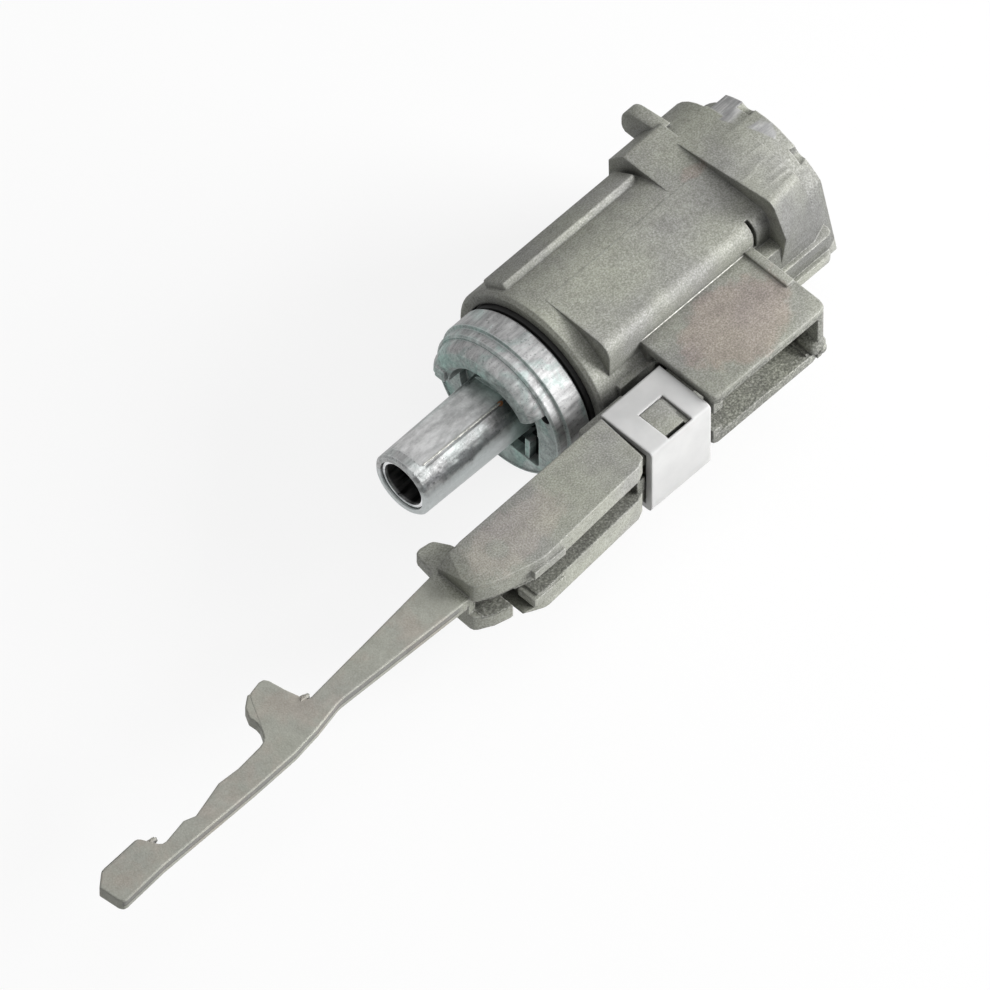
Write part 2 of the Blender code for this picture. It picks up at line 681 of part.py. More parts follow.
# Key plug: keyway, wafer slots with their spring pockets, and the shutter's bay
brass = surface("plug_brass", BRASS, 0.35, 1.0)
key_plug = turned("key_plug", [
    (PLUG_END_X, 0.0),
    (PLUG_END_X, PLUG_NECK_R),
    (PLUG_X1, PLUG_NECK_R),
    (PLUG_X1, PLUG_R - 0.3 * MM),
    (PLUG_X1 - 0.3 * MM, PLUG_R),
    (PLUG_X0 + 0.3 * MM, PLUG_R),
    (PLUG_X0, PLUG_R - 0.3 * MM),
    (PLUG_X0, 0.0),
])
key_plug.data.materials.append(brass)
keyway = box(
    "keyway",
    (PLUG_X0 - 1.0 * MM, KEYWAY_END_X),
    (-KEYWAY_WIDTH / 2, KEYWAY_WIDTH / 2),
    (-KEYWAY_HEIGHT / 2, KEYWAY_HEIGHT / 2),
)
shutter_bay = box(
    "shutter_bay",
    (PLUG_X0 - 1.0 * MM, PLUG_X0 + SHUTTER_BAY_DEPTH),
    (-SHUTTER_HALF_WIDTH - 0.35 * MM, SHUTTER_HINGE_Y + KNUCKLE_R + 0.3 * MM),
    (-SHUTTER_HALF_HEIGHT - 0.5 * MM, SHUTTER_HALF_HEIGHT + 0.5 * MM),
)
shutter_pin_hole = cylinder(
    "shutter_pin_hole", SHUTTER_PIN_R + 0.15 * MM,
    -SHUTTER_HALF_HEIGHT - 1.3 * MM, SHUTTER_HALF_HEIGHT + 1.3 * MM,
    (SHUTTER_HINGE_X, SHUTTER_HINGE_Y), "Z", 16,
)
cut(key_plug, keyway, shutter_bay, shutter_pin_hole)
wafer_places = [WAFER_FIRST_X + WAFER_PITCH * index for index in range(WAFER_COUNT)]
ear_y1 = WAFER_WIDTH / 2 + WAFER_EAR_OUT
spring_y = WAFER_WIDTH / 2 + WAFER_EAR_OUT - SPRING_R - 0.1 * MM
for index, place_x in enumerate(wafer_places):
    slot_half = WAFER_THICK / 2 + RUN_GAP
    wafer_slot = box(
        f"wafer_slot_{index + 1}",
        (place_x - slot_half, place_x + slot_half),
        (-WAFER_WIDTH / 2 - RUN_GAP, WAFER_WIDTH / 2 + RUN_GAP),
        (-PLUG_R - 1.0 * MM, PLUG_R + 1.0 * MM),
    )
    ear_half = max(slot_half, SPRING_R + SPRING_WIRE_R + 0.15 * MM)
    ear_bay = box(
        f"ear_bay_{index + 1}",
        (place_x - ear_half, place_x + ear_half),
        (0.0, ear_y1 + RUN_GAP),
        (SPRING_POCKET_Z, WAFER_EAR_Z + WAFER_EAR_THICK + RUN_GAP),
    )
    cut(key_plug, wafer_slot, ear_bay)

# Wafers and their springs
wafer_brass = surface("wafer_brass", (0.66, 0.52, 0.25), 0.3, 1.0)
spring_steel = surface("spring_steel", STEEL, 0.3, 1.0)
for index, place_x in enumerate(wafer_places):
    wafer = plate(f"wafer_{index + 1}", [
        (-WAFER_WIDTH / 2, WAFER_BOTTOM, 1.2 * MM),
        (WAFER_WIDTH / 2, WAFER_BOTTOM, 1.2 * MM),
        (WAFER_WIDTH / 2, WAFER_EAR_Z),
        (ear_y1, WAFER_EAR_Z),
        (ear_y1, WAFER_EAR_Z + WAFER_EAR_THICK),
        (WAFER_WIDTH / 2, WAFER_EAR_Z + WAFER_EAR_THICK),
        (WAFER_WIDTH / 2, WAFER_TOP, 1.2 * MM),
        (-WAFER_WIDTH / 2, WAFER_TOP, 1.2 * MM),
    ], place_x - WAFER_THICK / 2, place_x + WAFER_THICK / 2, SECTION_YZ, steps=3)
    window = box(
        f"wafer_window_{index + 1}",
        (place_x - WAFER_THICK, place_x + WAFER_THICK),
        (-KEYWAY_WIDTH / 2 - 0.2 * MM, KEYWAY_WIDTH / 2 + 0.2 * MM),
        (-KEYWAY_HEIGHT / 2 + 0.4 * MM, KEYWAY_HEIGHT / 2 + 0.5 * MM),
    )
    cut(wafer, window)
    wafer.data.materials.append(wafer_brass)
    spring = coil(
        f"wafer_spring_{index + 1}", SPRING_R, SPRING_WIRE_R,
        SPRING_POCKET_Z + 0.1 * MM, WAFER_EAR_Z - 0.1 * MM, 4, (place_x, spring_y), sides=4, per_turn=7,
    )
    spring.data.materials.append(spring_steel)

# Face cap with its key slot
cap_steel = surface("cap_steel", (0.6, 0.6, 0.6), 0.28, 1.0)
face_cap = turned("face_cap", [
    (CAP_INSET + CAP_THICK, 0.0),
    (CAP_INSET + CAP_THICK, CAP_R),
    (CAP_INSET + 0.5 * MM, CAP_R),
    (CAP_INSET, CAP_R - 0.6 * MM),
    (CAP_INSET, 8.2 * MM),
    (CAP_INSET + 0.5 * MM, 7.4 * MM),
    (CAP_INSET + 0.5 * MM, 0.0),
])
cap_slot = box(
    "cap_slot",
    (-1.0 * MM, CAP_INSET + CAP_THICK + 1.0 * MM),
    (-KEYWAY_WIDTH / 2 - 0.2 * MM, KEYWAY_WIDTH / 2 + 0.2 * MM),
    (-KEYWAY_HEIGHT / 2 - 0.2 * MM, KEYWAY_HEIGHT / 2 + 0.2 * MM),
)
cut(face_cap, cap_slot)
face_cap.data.materials.append(cap_steel)

# Shutter flap, its pin and its spring
shutter = plate("key_shutter", [
    (SHUTTER_HINGE_X - SHUTTER_THICK / 2, -SHUTTER_HALF_WIDTH),
    (SHUTTER_HINGE_X + SHUTTER_THICK / 2, -SHUTTER_HALF_WIDTH),
    (SHUTTER_HINGE_X + SHUTTER_THICK / 2, SHUTTER_HINGE_Y),
    (SHUTTER_HINGE_X - SHUTTER_THICK / 2, SHUTTER_HINGE_Y),
], -SHUTTER_HALF_HEIGHT, SHUTTER_HALF_HEIGHT - 2.2 * MM, origin=(SHUTTER_HINGE_X, SHUTTER_HINGE_Y))
knuckle_span = (-SHUTTER_HALF_HEIGHT, SHUTTER_HALF_HEIGHT - 2.2 * MM)
knuckle = cylinder(
    "shutter_knuckle", KNUCKLE_R, *knuckle_span, (SHUTTER_HINGE_X, SHUTTER_HINGE_Y), "Z", 16
)
knuckle_bore = cylinder(
    "knuckle_bore", SHUTTER_PIN_R + 0.15 * MM, knuckle_span[0] - 1.0 * MM, knuckle_span[1] + 1.0 * MM,
    (SHUTTER_HINGE_X, SHUTTER_HINGE_Y), "Z", 16,
)
add(shutter, knuckle)
cut(shutter, knuckle_bore)
shutter.data.materials.append(cap_steel)
shutter_pin = cylinder(
    "shutter_pin", SHUTTER_PIN_R, -SHUTTER_HALF_HEIGHT - 1.1 * MM, SHUTTER_HALF_HEIGHT + 1.1 * MM,
    (SHUTTER_HINGE_X, SHUTTER_HINGE_Y), "Z", 16,
)
shutter_pin.data.materials.append(spring_steel)
shutter_spring = coil(
    "shutter_spring", 0.62 * MM, 0.13 * MM, SHUTTER_HALF_HEIGHT - 1.9 * MM, SHUTTER_HALF_HEIGHT + 0.3 * MM,
    4, (SHUTTER_HINGE_X, SHUTTER_HINGE_Y), sides=4, per_turn=8,
)
shutter_spring.data.materials.append(spring_steel)

# Washer and C-clip between nose and collar
rubber = surface("black_rubber", BLACK, 0.6, 0.0)
gap_washer = turned("gap_washer", [
    (NOSE_X - NOSE_RECESS + SEAT_GAP + WASHER_THICK, WASHER_IN_R),
    (NOSE_X - NOSE_RECESS + SEAT_GAP + WASHER_THICK, WASHER_OUT_R),
    (NOSE_X - NOSE_RECESS + SEAT_GAP, WASHER_OUT_R),
    (NOSE_X - NOSE_RECESS + SEAT_GAP, WASHER_IN_R),
])
gap_washer.data.materials.append(rubber)
retainer_x = NOSE_X - NOSE_RECESS + SEAT_GAP
plug_retainer = turned("plug_retainer", [
    (retainer_x + RETAINER_THICK, PLUG_NECK_R + SEAT_GAP),
    (retainer_x + RETAINER_THICK, RETAINER_OUT_R),
    (retainer_x, RETAINER_OUT_R),
    (retainer_x, PLUG_NECK_R + SEAT_GAP),
], steps=48)
clip_mouth = box(
    "retainer_mouth",
    (retainer_x - 1.0 * MM, retainer_x + 2.0 * MM),
    (-3.6 * MM, 3.6 * MM),
    (-12.0 * MM, 0.0),
)
cut(plug_retainer, clip_mouth)
plug_retainer.data.materials.append(spring_steel)

# Collar: band, lip, face, and the raised rib that runs most of the way round the shaft
bright = surface("bright_zinc", BRIGHT_ZINC, 0.3, 0.95)
NECK_BORE_X = PLUG_END_X + SEAT_GAP
SHAFT_HOLE_R = SHAFT_ROOT_R + SEAT_GAP
face_x = COLLAR_FRONT_X
lip_r = COLLAR_R - 0.5 * MM
tail_collar = turned("tail_collar", [
    (face_x - COLLAR_FACE_DEPTH, SHAFT_HOLE_R),
    (face_x - COLLAR_FACE_DEPTH, RIB_R - RIB_HALF - 0.1 * MM),
    (face_x + RIB_RISE - 0.6 * MM, RIB_R - RIB_HALF),
    (face_x + RIB_RISE - 0.1 * MM, RIB_R - RIB_HALF + 0.6 * MM),
    (face_x + RIB_RISE, RIB_R),
    (face_x + RIB_RISE - 0.3 * MM, RIB_R + 0.9 * MM),
    (face_x + RIB_RISE - 0.9 * MM, RIB_R + 1.45 * MM),
    (face_x + 0.5 * MM, RIB_R + RIB_HALF),
    (face_x, RIB_R + RIB_HALF + 0.1 * MM),
    (face_x, lip_r - 0.3 * MM),
    (face_x - 0.3 * MM, lip_r),
    (COLLAR_X + COLLAR_BAND, lip_r),
    (COLLAR_X + COLLAR_BAND - 0.2 * MM, COLLAR_R),
    (COLLAR_X + 0.3 * MM, COLLAR_R),
    (COLLAR_X, COLLAR_R - 0.3 * MM),
    (COLLAR_X, PLUG_NECK_R + SEAT_GAP),
    (NECK_BORE_X, PLUG_NECK_R + SEAT_GAP),
    (NECK_BORE_X, SHAFT_HOLE_R),
])
tail_collar.data.materials.append(bright)
mouth_depth = 2.6 * MM
rib_gap = plate(
    "rib_gap",
    arc(RIB_R + RIB_HALF + 0.25 * MM, RIB_ENDS[1], RIB_ENDS[0] + 360) + [(0.0, 0.0)],
    face_x - 0.2 * MM, face_x + RIB_RISE + 1.0 * MM, SECTION_YZ,
)
rib_mouth = box(
    "rib_mouth",
    (face_x - mouth_depth, face_x + 4.0 * MM),
    (1.6 * MM, 7.4 * MM),
    (-7.0 * MM, -0.2 * MM),
    edge=0.5 * MM,
)
mouth_rib = box(
    "mouth_rib",
    (face_x - mouth_depth - 0.5 * MM, face_x - 0.4 * MM),
    (4.7 * MM, 5.5 * MM),
    (-7.8 * MM, -3.2 * MM),
)
side_tab = box(
    "side_tab",
    (face_x + 0.5 * MM, face_x + RIB_RISE + 0.35 * MM),
    (-9.0 * MM, -7.2 * MM),
    (0.7 * MM, 2.8 * MM),
    edge=0.25 * MM,
)
pin_y = PIN_CIRCLE_R * math.cos(PIN_ANGLE)
pin_z = PIN_CIRCLE_R * math.sin(PIN_ANGLE)
collar_pin_hole = cylinder(
    "collar_pin_hole", PIN_R + 0.15 * MM, COLLAR_X + 0.6 * MM, face_x + 3.0 * MM, (pin_y, pin_z), "X", 16
)
cut(tail_collar, rib_gap, rib_mouth)
add(tail_collar, mouth_rib, side_tab)
cut(tail_collar, collar_pin_hole)
collar_pin = cylinder(
    "collar_pin", PIN_R, COLLAR_X + 0.8 * MM, face_x - 1.2 * MM, (pin_y, pin_z), "X", 16
)
collar_pin.data.materials.append(spring_steel)

# Hollow shaft with its flat, and the liner in its mouth
shaft_x0 = PLUG_END_X + SEAT_GAP
tail_shaft = turned("tail_shaft", [
    (SHAFT_END_X, LINER_OUT_R + LINER_GAP),
    (SHAFT_END_X, SHAFT_TIP_R - 0.35 * MM),
    (SHAFT_END_X - 0.35 * MM, SHAFT_TIP_R),
    (shaft_x0, SHAFT_ROOT_R),
    (shaft_x0, LINER_OUT_R + LINER_GAP),
], steps=48)
flat_span = (COLLAR_FRONT_X + 0.6 * MM, SHAFT_END_X - SHAFT_RING)
shaft_flat = box("shaft_flat", flat_span, (-6.0 * MM, 6.0 * MM), (0.0, 4.0 * MM))
flat_middle = SHAFT_FLAT + 2.0 * MM
shaft_flat.location = (
    sum(flat_span) / 2,
    -flat_middle * math.sin(SHAFT_FLAT_ANGLE),
    flat_middle * math.cos(SHAFT_FLAT_ANGLE),
)
shaft_flat.rotation_euler = (SHAFT_FLAT_ANGLE, 0.0, 0.0)
cut(tail_shaft, shaft_flat)
tail_shaft.data.materials.append(bright)
shaft_liner = turned("shaft_liner", [
    (SHAFT_END_X - 0.4 * MM, LINER_IN_R),
    (SHAFT_END_X - 0.4 * MM, LINER_OUT_R),
    (SHAFT_END_X - LINER_LEN, LINER_OUT_R),
    (SHAFT_END_X - LINER_LEN, LINER_IN_R),
], steps=48)
shaft_liner.data.materials.append(spring_steel)

# Lever: hooked blade with its nib, origin on the pivot
PIVOT = (PIVOT_X, PIVOT_Y)
lever_zinc = surface("lever_zinc", (0.36, 0.35, 0.31), 0.62, 0.75)
lever = plate("lever", [
    (ARM_TIP_X - 8.6 * MM, 17.0 * MM),
    (ARM_TIP_X - 5.2 * MM, 16.6 * MM),
    (ARM_TIP_X - 4.5 * MM, 14.0 * MM, 0.8 * MM),
    (ARM_TIP_X - 3.3 * MM, 11.9 * MM, 0.8 * MM),
    (ARM_TIP_X - 0.2 * MM, 11.4 * MM, 0.9 * MM),
    (ARM_TIP_X + 0.4 * MM, 15.6 * MM, 0.8 * MM),
    (ARM_TIP_X + 13.2 * MM, 16.8 * MM),
    (HOOK_X - 9.3 * MM, 17.4 * MM),
    (HOOK_X - 2.8 * MM, 18.0 * MM, 0.7 * MM),
    (HOOK_X - 1.9 * MM, 14.6 * MM),
    (HOOK_X - 1.3 * MM, 11.2 * MM, 0.9 * MM),
    (HOOK_X + 2.1 * MM, 11.9 * MM, 1.2 * MM),
    (HOOK_X + 5.8 * MM, 18.6 * MM, 2.2 * MM),
    (HOOK_X + 11.4 * MM, 19.1 * MM),
    (HOOK_X + 14.9 * MM, 18.9 * MM),
    (HOOK_X + 20.7 * MM, 20.4 * MM),
    (BLADE_END_X - 15.3 * MM, 19.8 * MM),
    (BLADE_END_X - 10.7 * MM, 20.6 * MM, 1.0 * MM),
    (BLADE_END_X - 9.1 * MM, 17.4 * MM, 0.8 * MM),
    (BLADE_END_X - 2.1 * MM, 17.7 * MM, 1.4 * MM),
    (BLADE_END_X, 19.4 * MM),
    (BLADE_END_X - 0.4 * MM, 23.4 * MM, 0.8 * MM),
    (BLADE_END_X - 8.5 * MM, 22.9 * MM),
    (HOOK_X + 12.2 * MM, 22.9 * MM),
    (HOOK_X + 4.4 * MM, 22.7 * MM),
    (HOOK_X - 0.4 * MM, 22.1 * MM),
    (HOOK_X - 5.4 * MM, 21.1 * MM, 6.0 * MM),
    (ARM_TIP_X + 0.4 * MM, 21.9 * MM),
    (ARM_TIP_X - 8.6 * MM, 22.0 * MM),
], BLADE_TOP - BLADE_THICK, BLADE_TOP, origin=PIVOT, steps=3)
round_edges(lever, 0.25 * MM, 1)
lever.data.materials.append(lever_zinc)

# Lever: the deep arm, with its tip corner sloped down to the blade and its underside lifted there
arm = plate("arm", [
    (ARM_X0, 15.6 * MM),
    (ARM_TIP_X - 3.2 * MM, 16.1 * MM),
    (ARM_TIP_X - 0.2 * MM, 15.9 * MM),
    (ARM_TIP_X, 22.5 * MM, 1.0 * MM),
    (ARM_TIP_X - 2.6 * MM, 23.9 * MM),
    (ARM_TIP_X - 8.1 * MM, 25.4 * MM),
    (ARM_TIP_X - 10.1 * MM, 25.8 * MM, 2.0 * MM),
    (ARM_X0 + 2.2 * MM, 24.6 * MM),
    (ARM_X0 + 0.7 * MM, 23.9 * MM, 0.5 * MM),
], ARM_BOTTOM, ARM_TOP)
round_edges(arm, 0.25 * MM, 1)
near_slope = slab("near_slope", (ARM_TIP_X - 4.2 * MM, 15.6 * MM, ARM_TOP), (0.26, -0.12, 0.96))
tip_slope = slab("tip_slope", (ARM_TIP_X - 2.0 * MM, 15.6 * MM, ARM_TOP - 0.75 * MM), (0.66, -0.3, 0.69))
tip_lift = box(
    "tip_lift",
    (ARM_TIP_X - 5.5 * MM, ARM_TIP_X + 2.0 * MM),
    (10.0 * MM, 30.0 * MM),
    (ARM_BOTTOM - 4.0 * MM, ARM_BOTTOM + ARM_TIP_LIFT),
)
lift_ramp = box("lift_ramp", (-3.4 * MM, 3.4 * MM), (10.0 * MM, 30.0 * MM), (-4.0 * MM, 0.0))
ramp_slope = math.atan2(ARM_TIP_LIFT, 5.4 * MM)
lift_ramp.rotation_euler = (0.0, -ramp_slope, 0.0)
lift_ramp.location = (
    ARM_TIP_X - 8.3 * MM + 2.0 * MM * math.sin(ramp_slope),
    20.0 * MM,
    ARM_BOTTOM + ARM_TIP_LIFT / 2 - 2.0 * MM * math.cos(ramp_slope),
)
cut(arm, near_slope, tip_slope, lift_ramp, tip_lift)

# Lever: neck inside the clip, with its snap tab, side heel and the tongue that reaches the pivot
neck = box(
    "neck",
    (CLIP_X0 + 0.15 * MM, ARM_X0 + 1.0 * MM),
    (15.0 * MM, NECK_Y1),
    (NECK_BOTTOM, NECK_TOP),
    edge=0.2 * MM,
)
heel = box(
    "heel",
    (CLIP_X0 + 5.4 * MM, NECK_HEEL_X),
    (NECK_Y0, 16.5 * MM),
    (NECK_HEEL_TOP - 1.8 * MM, NECK_HEEL_TOP),
    edge=0.3 * MM,
)
snap_tab = plate("snap_tab", [
    (WINDOW_Y0 + 0.3 * MM, NECK_TOP - 0.5 * MM),
    (NECK_Y1 - 0.1 * MM, NECK_TOP - 0.5 * MM),
    (NECK_Y1 - 0.1 * MM, NECK_TOP + 0.3 * MM),
    (NECK_Y1 - 1.6 * MM, CLIP_TOP - 0.3 * MM),
    (WINDOW_Y0 + 0.3 * MM, CLIP_TOP - 0.2 * MM),
], WINDOW_X0 + 0.3 * MM, WINDOW_X0 + WINDOW_LEN - 0.3 * MM, SECTION_YZ)
tongue = plate("tongue", [
    (PIVOT_X - TONGUE_END_R, PIVOT_Y - TONGUE_END_R, 2.9 * MM),
    (24.0 * MM, PIVOT_Y - TONGUE_END_R),
    (26.0 * MM, TONGUE_Y0),
    (ARM_X0, TONGUE_Y0),
    (ARM_X0, TONGUE_Y1),
    (26.0 * MM, TONGUE_Y1),
    (PIVOT_X - TONGUE_END_R, PIVOT_Y + TONGUE_END_R, 2.9 * MM),
], TONGUE_BOTTOM, TONGUE_BOTTOM + TONGUE_THICK, steps=6)
add(lever, arm, neck, heel, snap_tab, tongue)

# Lever: the cored side of the arm and its notch, then the pivot hole
slot_floor = ARM_BOTTOM + ARM_BOTTOM_PLATE
slot_roof = ARM_TOP - ARM_TOP_PLATE
slot_end_x = ARM_X0 + SLOT_LEN
side_core = box(
    "side_core", (CLIP_X0 - 1.0 * MM, slot_end_x), (ARM_WEB_Y, 30.0 * MM), (slot_floor, slot_roof)
)
notch_core = box(
    "notch_core",
    (slot_end_x - 0.4 * MM, slot_end_x + 3.1 * MM),
    (ARM_WEB_Y + 1.8 * MM, 30.0 * MM),
    (ARM_BOTTOM + 1.5 * MM, slot_roof - 0.5 * MM),
)
tip_core = box(
    "tip_core",
    (slot_end_x + 2.8 * MM, ARM_TIP_X - 1.3 * MM),
    (ARM_WEB_Y + 0.6 * MM, 30.0 * MM),
    (slot_floor + 0.2 * MM, BLADE_TOP - BLADE_THICK - 0.05 * MM),
)
tip_slot = box(
    "tip_slot",
    (slot_end_x + 2.9 * MM, ARM_TIP_X + 0.5 * MM),
    (ARM_WEB_Y + 2.2 * MM, 30.0 * MM),
    (slot_floor + 0.4 * MM, slot_roof - 0.2 * MM),
)
lever_pivot_hole = cylinder(
    "lever_pivot_hole", PIVOT_PIN_R + RUN_GAP, TONGUE_BOTTOM - 1.0 * MM, TONGUE_BOTTOM + TONGUE_THICK + 1.0 * MM,
    (PIVOT_X, PIVOT_Y), "Z", SMALL_STEPS,
)
cut(lever, side_core, notch_core, tip_core, tip_slot, lever_pivot_hole)
ridge_x = (slot_end_x - 5.3 * MM, slot_end_x + 0.5 * MM)
upper_ridge = box("upper_ridge", ridge_x, (23.0 * MM, 26.1 * MM), (slot_roof + 0.5 * MM, slot_roof + 1.9 * MM))
lower_ridge = box("lower_ridge", ridge_x, (23.0 * MM, 26.1 * MM), (slot_floor - 1.5 * MM, slot_floor - 0.2 * MM))
slot_end = box(
    "slot_end",
    (ARM_X0 + 0.2 * MM, ARM_X0 + 1.6 * MM),
    (ARM_WEB_Y - 0.5 * MM, 23.7 * MM),
    (slot_floor - 0.3 * MM, slot_floor + 2.3 * MM),
)
add(lever, upper_ridge, lower_ridge, slot_end)

# Nylon clip: a U snapped round the neck, with a window for the tab
nylon = surface("white_nylon", NYLON, 0.45, 0.0)
clip_x1 = CLIP_X0 + CLIP_LEN
lever_clip = plate("lever_clip", [
    (CLIP_Y0, CLIP_TOP),
    (CLIP_Y0, CLIP_TOP - CLIP_WALL),
    (CLIP_Y1 - CLIP_WALL, CLIP_TOP - CLIP_WALL),
    (CLIP_Y1 - CLIP_WALL, CLIP_BOTTOM + CLIP_WALL),
    (CLIP_Y0 + 2.0 * MM, CLIP_BOTTOM + CLIP_WALL),
    (CLIP_Y0 + 2.0 * MM, CLIP_BOTTOM),
    (CLIP_Y1, CLIP_BOTTOM, 0.6 * MM),
    (CLIP_Y1, CLIP_TOP, 0.6 * MM),
], CLIP_X0, clip_x1, SECTION_YZ, origin=(CLIP_Y1, 0.0))
clip_window = box(
    "clip_window",
    (WINDOW_X0, WINDOW_X0 + WINDOW_LEN),
    (WINDOW_Y0, CLIP_Y1 - 0.4 * MM),
    (CLIP_TOP - CLIP_WALL - 0.5 * MM, CLIP_TOP + 1.0 * MM),
)
cut(lever_clip, clip_window)
lever_clip.data.materials.append(nylon)

# Lever pin and its torsion spring above the tongue
lever_pin = cylinder(
    "lever_pin", PIVOT_PIN_R, POCKET_BOTTOM + 0.2 * MM, PIN_HOLE_TOP - SEAT_GAP, PIVOT, "Z", SMALL_STEPS
)
lever_pin.data.materials.append(spring_steel)
spring_low = TONGUE_BOTTOM + TONGUE_THICK + SEAT_GAP
lever_spring = coil(
    "lever_spring", PIVOT_PIN_R + 0.65 * MM, 0.28 * MM, spring_low, POCKET_TOP - POCKET_WALL - SEAT_GAP,
    3, PIVOT, sides=6, per_turn=14,
)
lever_spring.data.materials.append(spring_steel)

# Follower that a key pushes out against the tongue
key_follower = box(
    "key_follower",
    (FOLLOWER_X - FOLLOWER_WIDTH / 2, FOLLOWER_X + FOLLOWER_WIDTH / 2),
    (PLUG_R + RUN_GAP, TONGUE_Y0 - SEAT_GAP),
    (FOLLOWER_Z - FOLLOWER_HEIGHT / 2, FOLLOWER_Z + FOLLOWER_HEIGHT / 2),
    edge=0.3 * MM,
)
key_follower.data.materials.append(cap_steel)
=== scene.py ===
"""An ignition lock cylinder on a pale floor: cast zinc barrel, bright collar and shaft, and a long cast lever
with a white nylon clip. Everything is in metres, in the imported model's frame."""

import math
import random

import bmesh
import bpy
from mathutils import Matrix, Vector


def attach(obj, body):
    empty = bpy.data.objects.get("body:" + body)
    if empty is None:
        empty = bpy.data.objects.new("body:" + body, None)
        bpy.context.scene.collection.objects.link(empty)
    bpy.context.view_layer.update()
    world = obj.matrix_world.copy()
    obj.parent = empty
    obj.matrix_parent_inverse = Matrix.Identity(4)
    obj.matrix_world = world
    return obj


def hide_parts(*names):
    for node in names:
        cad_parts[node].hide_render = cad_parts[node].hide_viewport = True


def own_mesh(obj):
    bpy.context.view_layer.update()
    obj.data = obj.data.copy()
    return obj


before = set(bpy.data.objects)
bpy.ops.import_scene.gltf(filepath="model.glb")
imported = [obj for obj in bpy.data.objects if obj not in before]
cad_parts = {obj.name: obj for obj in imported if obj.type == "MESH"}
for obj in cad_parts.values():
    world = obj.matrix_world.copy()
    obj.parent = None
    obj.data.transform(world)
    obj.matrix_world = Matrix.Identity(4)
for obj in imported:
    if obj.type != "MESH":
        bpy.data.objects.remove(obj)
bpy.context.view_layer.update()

# The camera. It looks down from the shaft's side of the lock through a very long lens, so that lines that
# are parallel on the lock stay parallel in the picture.
MM = 0.001
KEY_FACE_X = -22.0 * MM      # the key face and the cylinder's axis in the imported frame
AXIS_Z = 14.2 * MM


def at(along, across, up):
    """A point given in millimetres from the key face, from the axis and above the axis"""
    return Vector((KEY_FACE_X + along * MM, across * MM, AXIS_Z + up * MM))


PIXELS_PER_MM = 7.62
PICTURE = 990                # the picture's width and height, in pixels
KEY_FACE_PIXEL = (766.3, 179.6)  # where the middle of the key face lies in it
CAMERA_DISTANCE = 6.0
FARTHEST_SEEN = 30.0
SENSOR = 36.0
MIDDLE_OF_LENGTH = 33.0 * MM  # how much nearer than the key face the lock's middle is
TOWARDS_CAMERA = (0.4206, 0.4066, 0.811)
PICTURE_RIGHT = (-0.695, 0.719, 0.0)

towards_camera = Vector(TOWARDS_CAMERA).normalized()
picture_right = Vector(PICTURE_RIGHT)
picture_right = (picture_right - towards_camera * picture_right.dot(towards_camera)).normalized()
picture_up = towards_camera.cross(picture_right)
across = (PICTURE / 2 - KEY_FACE_PIXEL[0]) / PIXELS_PER_MM * MM
down = (PICTURE / 2 - KEY_FACE_PIXEL[1]) / PIXELS_PER_MM * MM
picture_middle = at(0, 0, 0) + picture_right * across - picture_up * down

camera_data = bpy.data.cameras.new("camera")
camera_data.sensor_width = SENSOR
camera_data.lens = SENSOR * (CAMERA_DISTANCE - MIDDLE_OF_LENGTH) / (PICTURE / PIXELS_PER_MM * MM)
camera_data.clip_end = FARTHEST_SEEN
camera = bpy.data.objects.new("camera", camera_data)
turn = Matrix((picture_right, picture_up, towards_camera)).transposed()
camera.matrix_world = Matrix.Translation(picture_middle + towards_camera * CAMERA_DISTANCE) @ turn.to_4x4()
bpy.context.scene.collection.objects.link(camera)
bpy.context.scene.camera = camera

# The stage: a pale floor under a white surround. One soft light stands low on the lever's side, where the
# photograph's faces are the brightest, and a weak one overhead.
scene = bpy.context.scene
scene.view_settings.view_transform = "Standard"
DIM_SIDE = 0.03              # light of the room from the side away from the lever
BRIGHT_SIDE = 0.42           # and from the lever's side
TOWARDS_WINDOW = (-0.5, 0.68, 0.54)
WINDOW_SPREAD = (-0.75, 0.9)  # how far towards it a ray looks where the room is dimmest and brightest
FLOOR_HALF = 2.5
FLOOR_GLOW = 0.84            # share of the floor's white that a shadow doesn't reach
FLOOR_GREY = (0.5, 0.5, 0.5, 1.0)      # the floor as it lights the lock from below
FLOOR_WHITE = (0.95, 0.95, 0.95, 1.0)  # and as it is seen
WHITE = (1.0, 1.0, 1.0, 1.0)
LIGHT_AIM = (0.02, 0.0, 0.01)  # the point of the lock that the lights are turned to


def seen_as_background(tree):
    """1 for a ray that comes from the camera, a gloss or a glass, and 0 for scattered light"""
    path = tree.nodes.new("ShaderNodeLightPath")
    factor = path.outputs["Is Camera Ray"]
    for ray in ("Is Glossy Ray", "Is Transmission Ray"):
        larger = tree.nodes.new("ShaderNodeMath")
        larger.operation = "MAXIMUM"
        tree.links.new(factor, larger.inputs[0])
        tree.links.new(path.outputs[ray], larger.inputs[1])
        factor = larger.outputs[0]
    return factor


surround = bpy.data.worlds.new("surround")
scene.world = surround
surround.use_nodes = True
surround_tree = surround.node_tree
light_of_room = surround_tree.nodes["Background"]
light_of_room.inputs["Color"].default_value = WHITE
direction_of_ray = surround_tree.nodes.new("ShaderNodeTexCoord")
towards_window = surround_tree.nodes.new("ShaderNodeVectorMath")
towards_window.operation = "DOT_PRODUCT"
towards_window.inputs[1].default_value = TOWARDS_WINDOW
room_level = surround_tree.nodes.new("ShaderNodeMapRange")
room_level.interpolation_type = "SMOOTHSTEP"
room_level.inputs["From Min"].default_value = WINDOW_SPREAD[0]
room_level.inputs["From Max"].default_value = WINDOW_SPREAD[1]
room_level.inputs["To Min"].default_value = DIM_SIDE
room_level.inputs["To Max"].default_value = BRIGHT_SIDE
surround_tree.links.new(direction_of_ray.outputs["Generated"], towards_window.inputs[0])
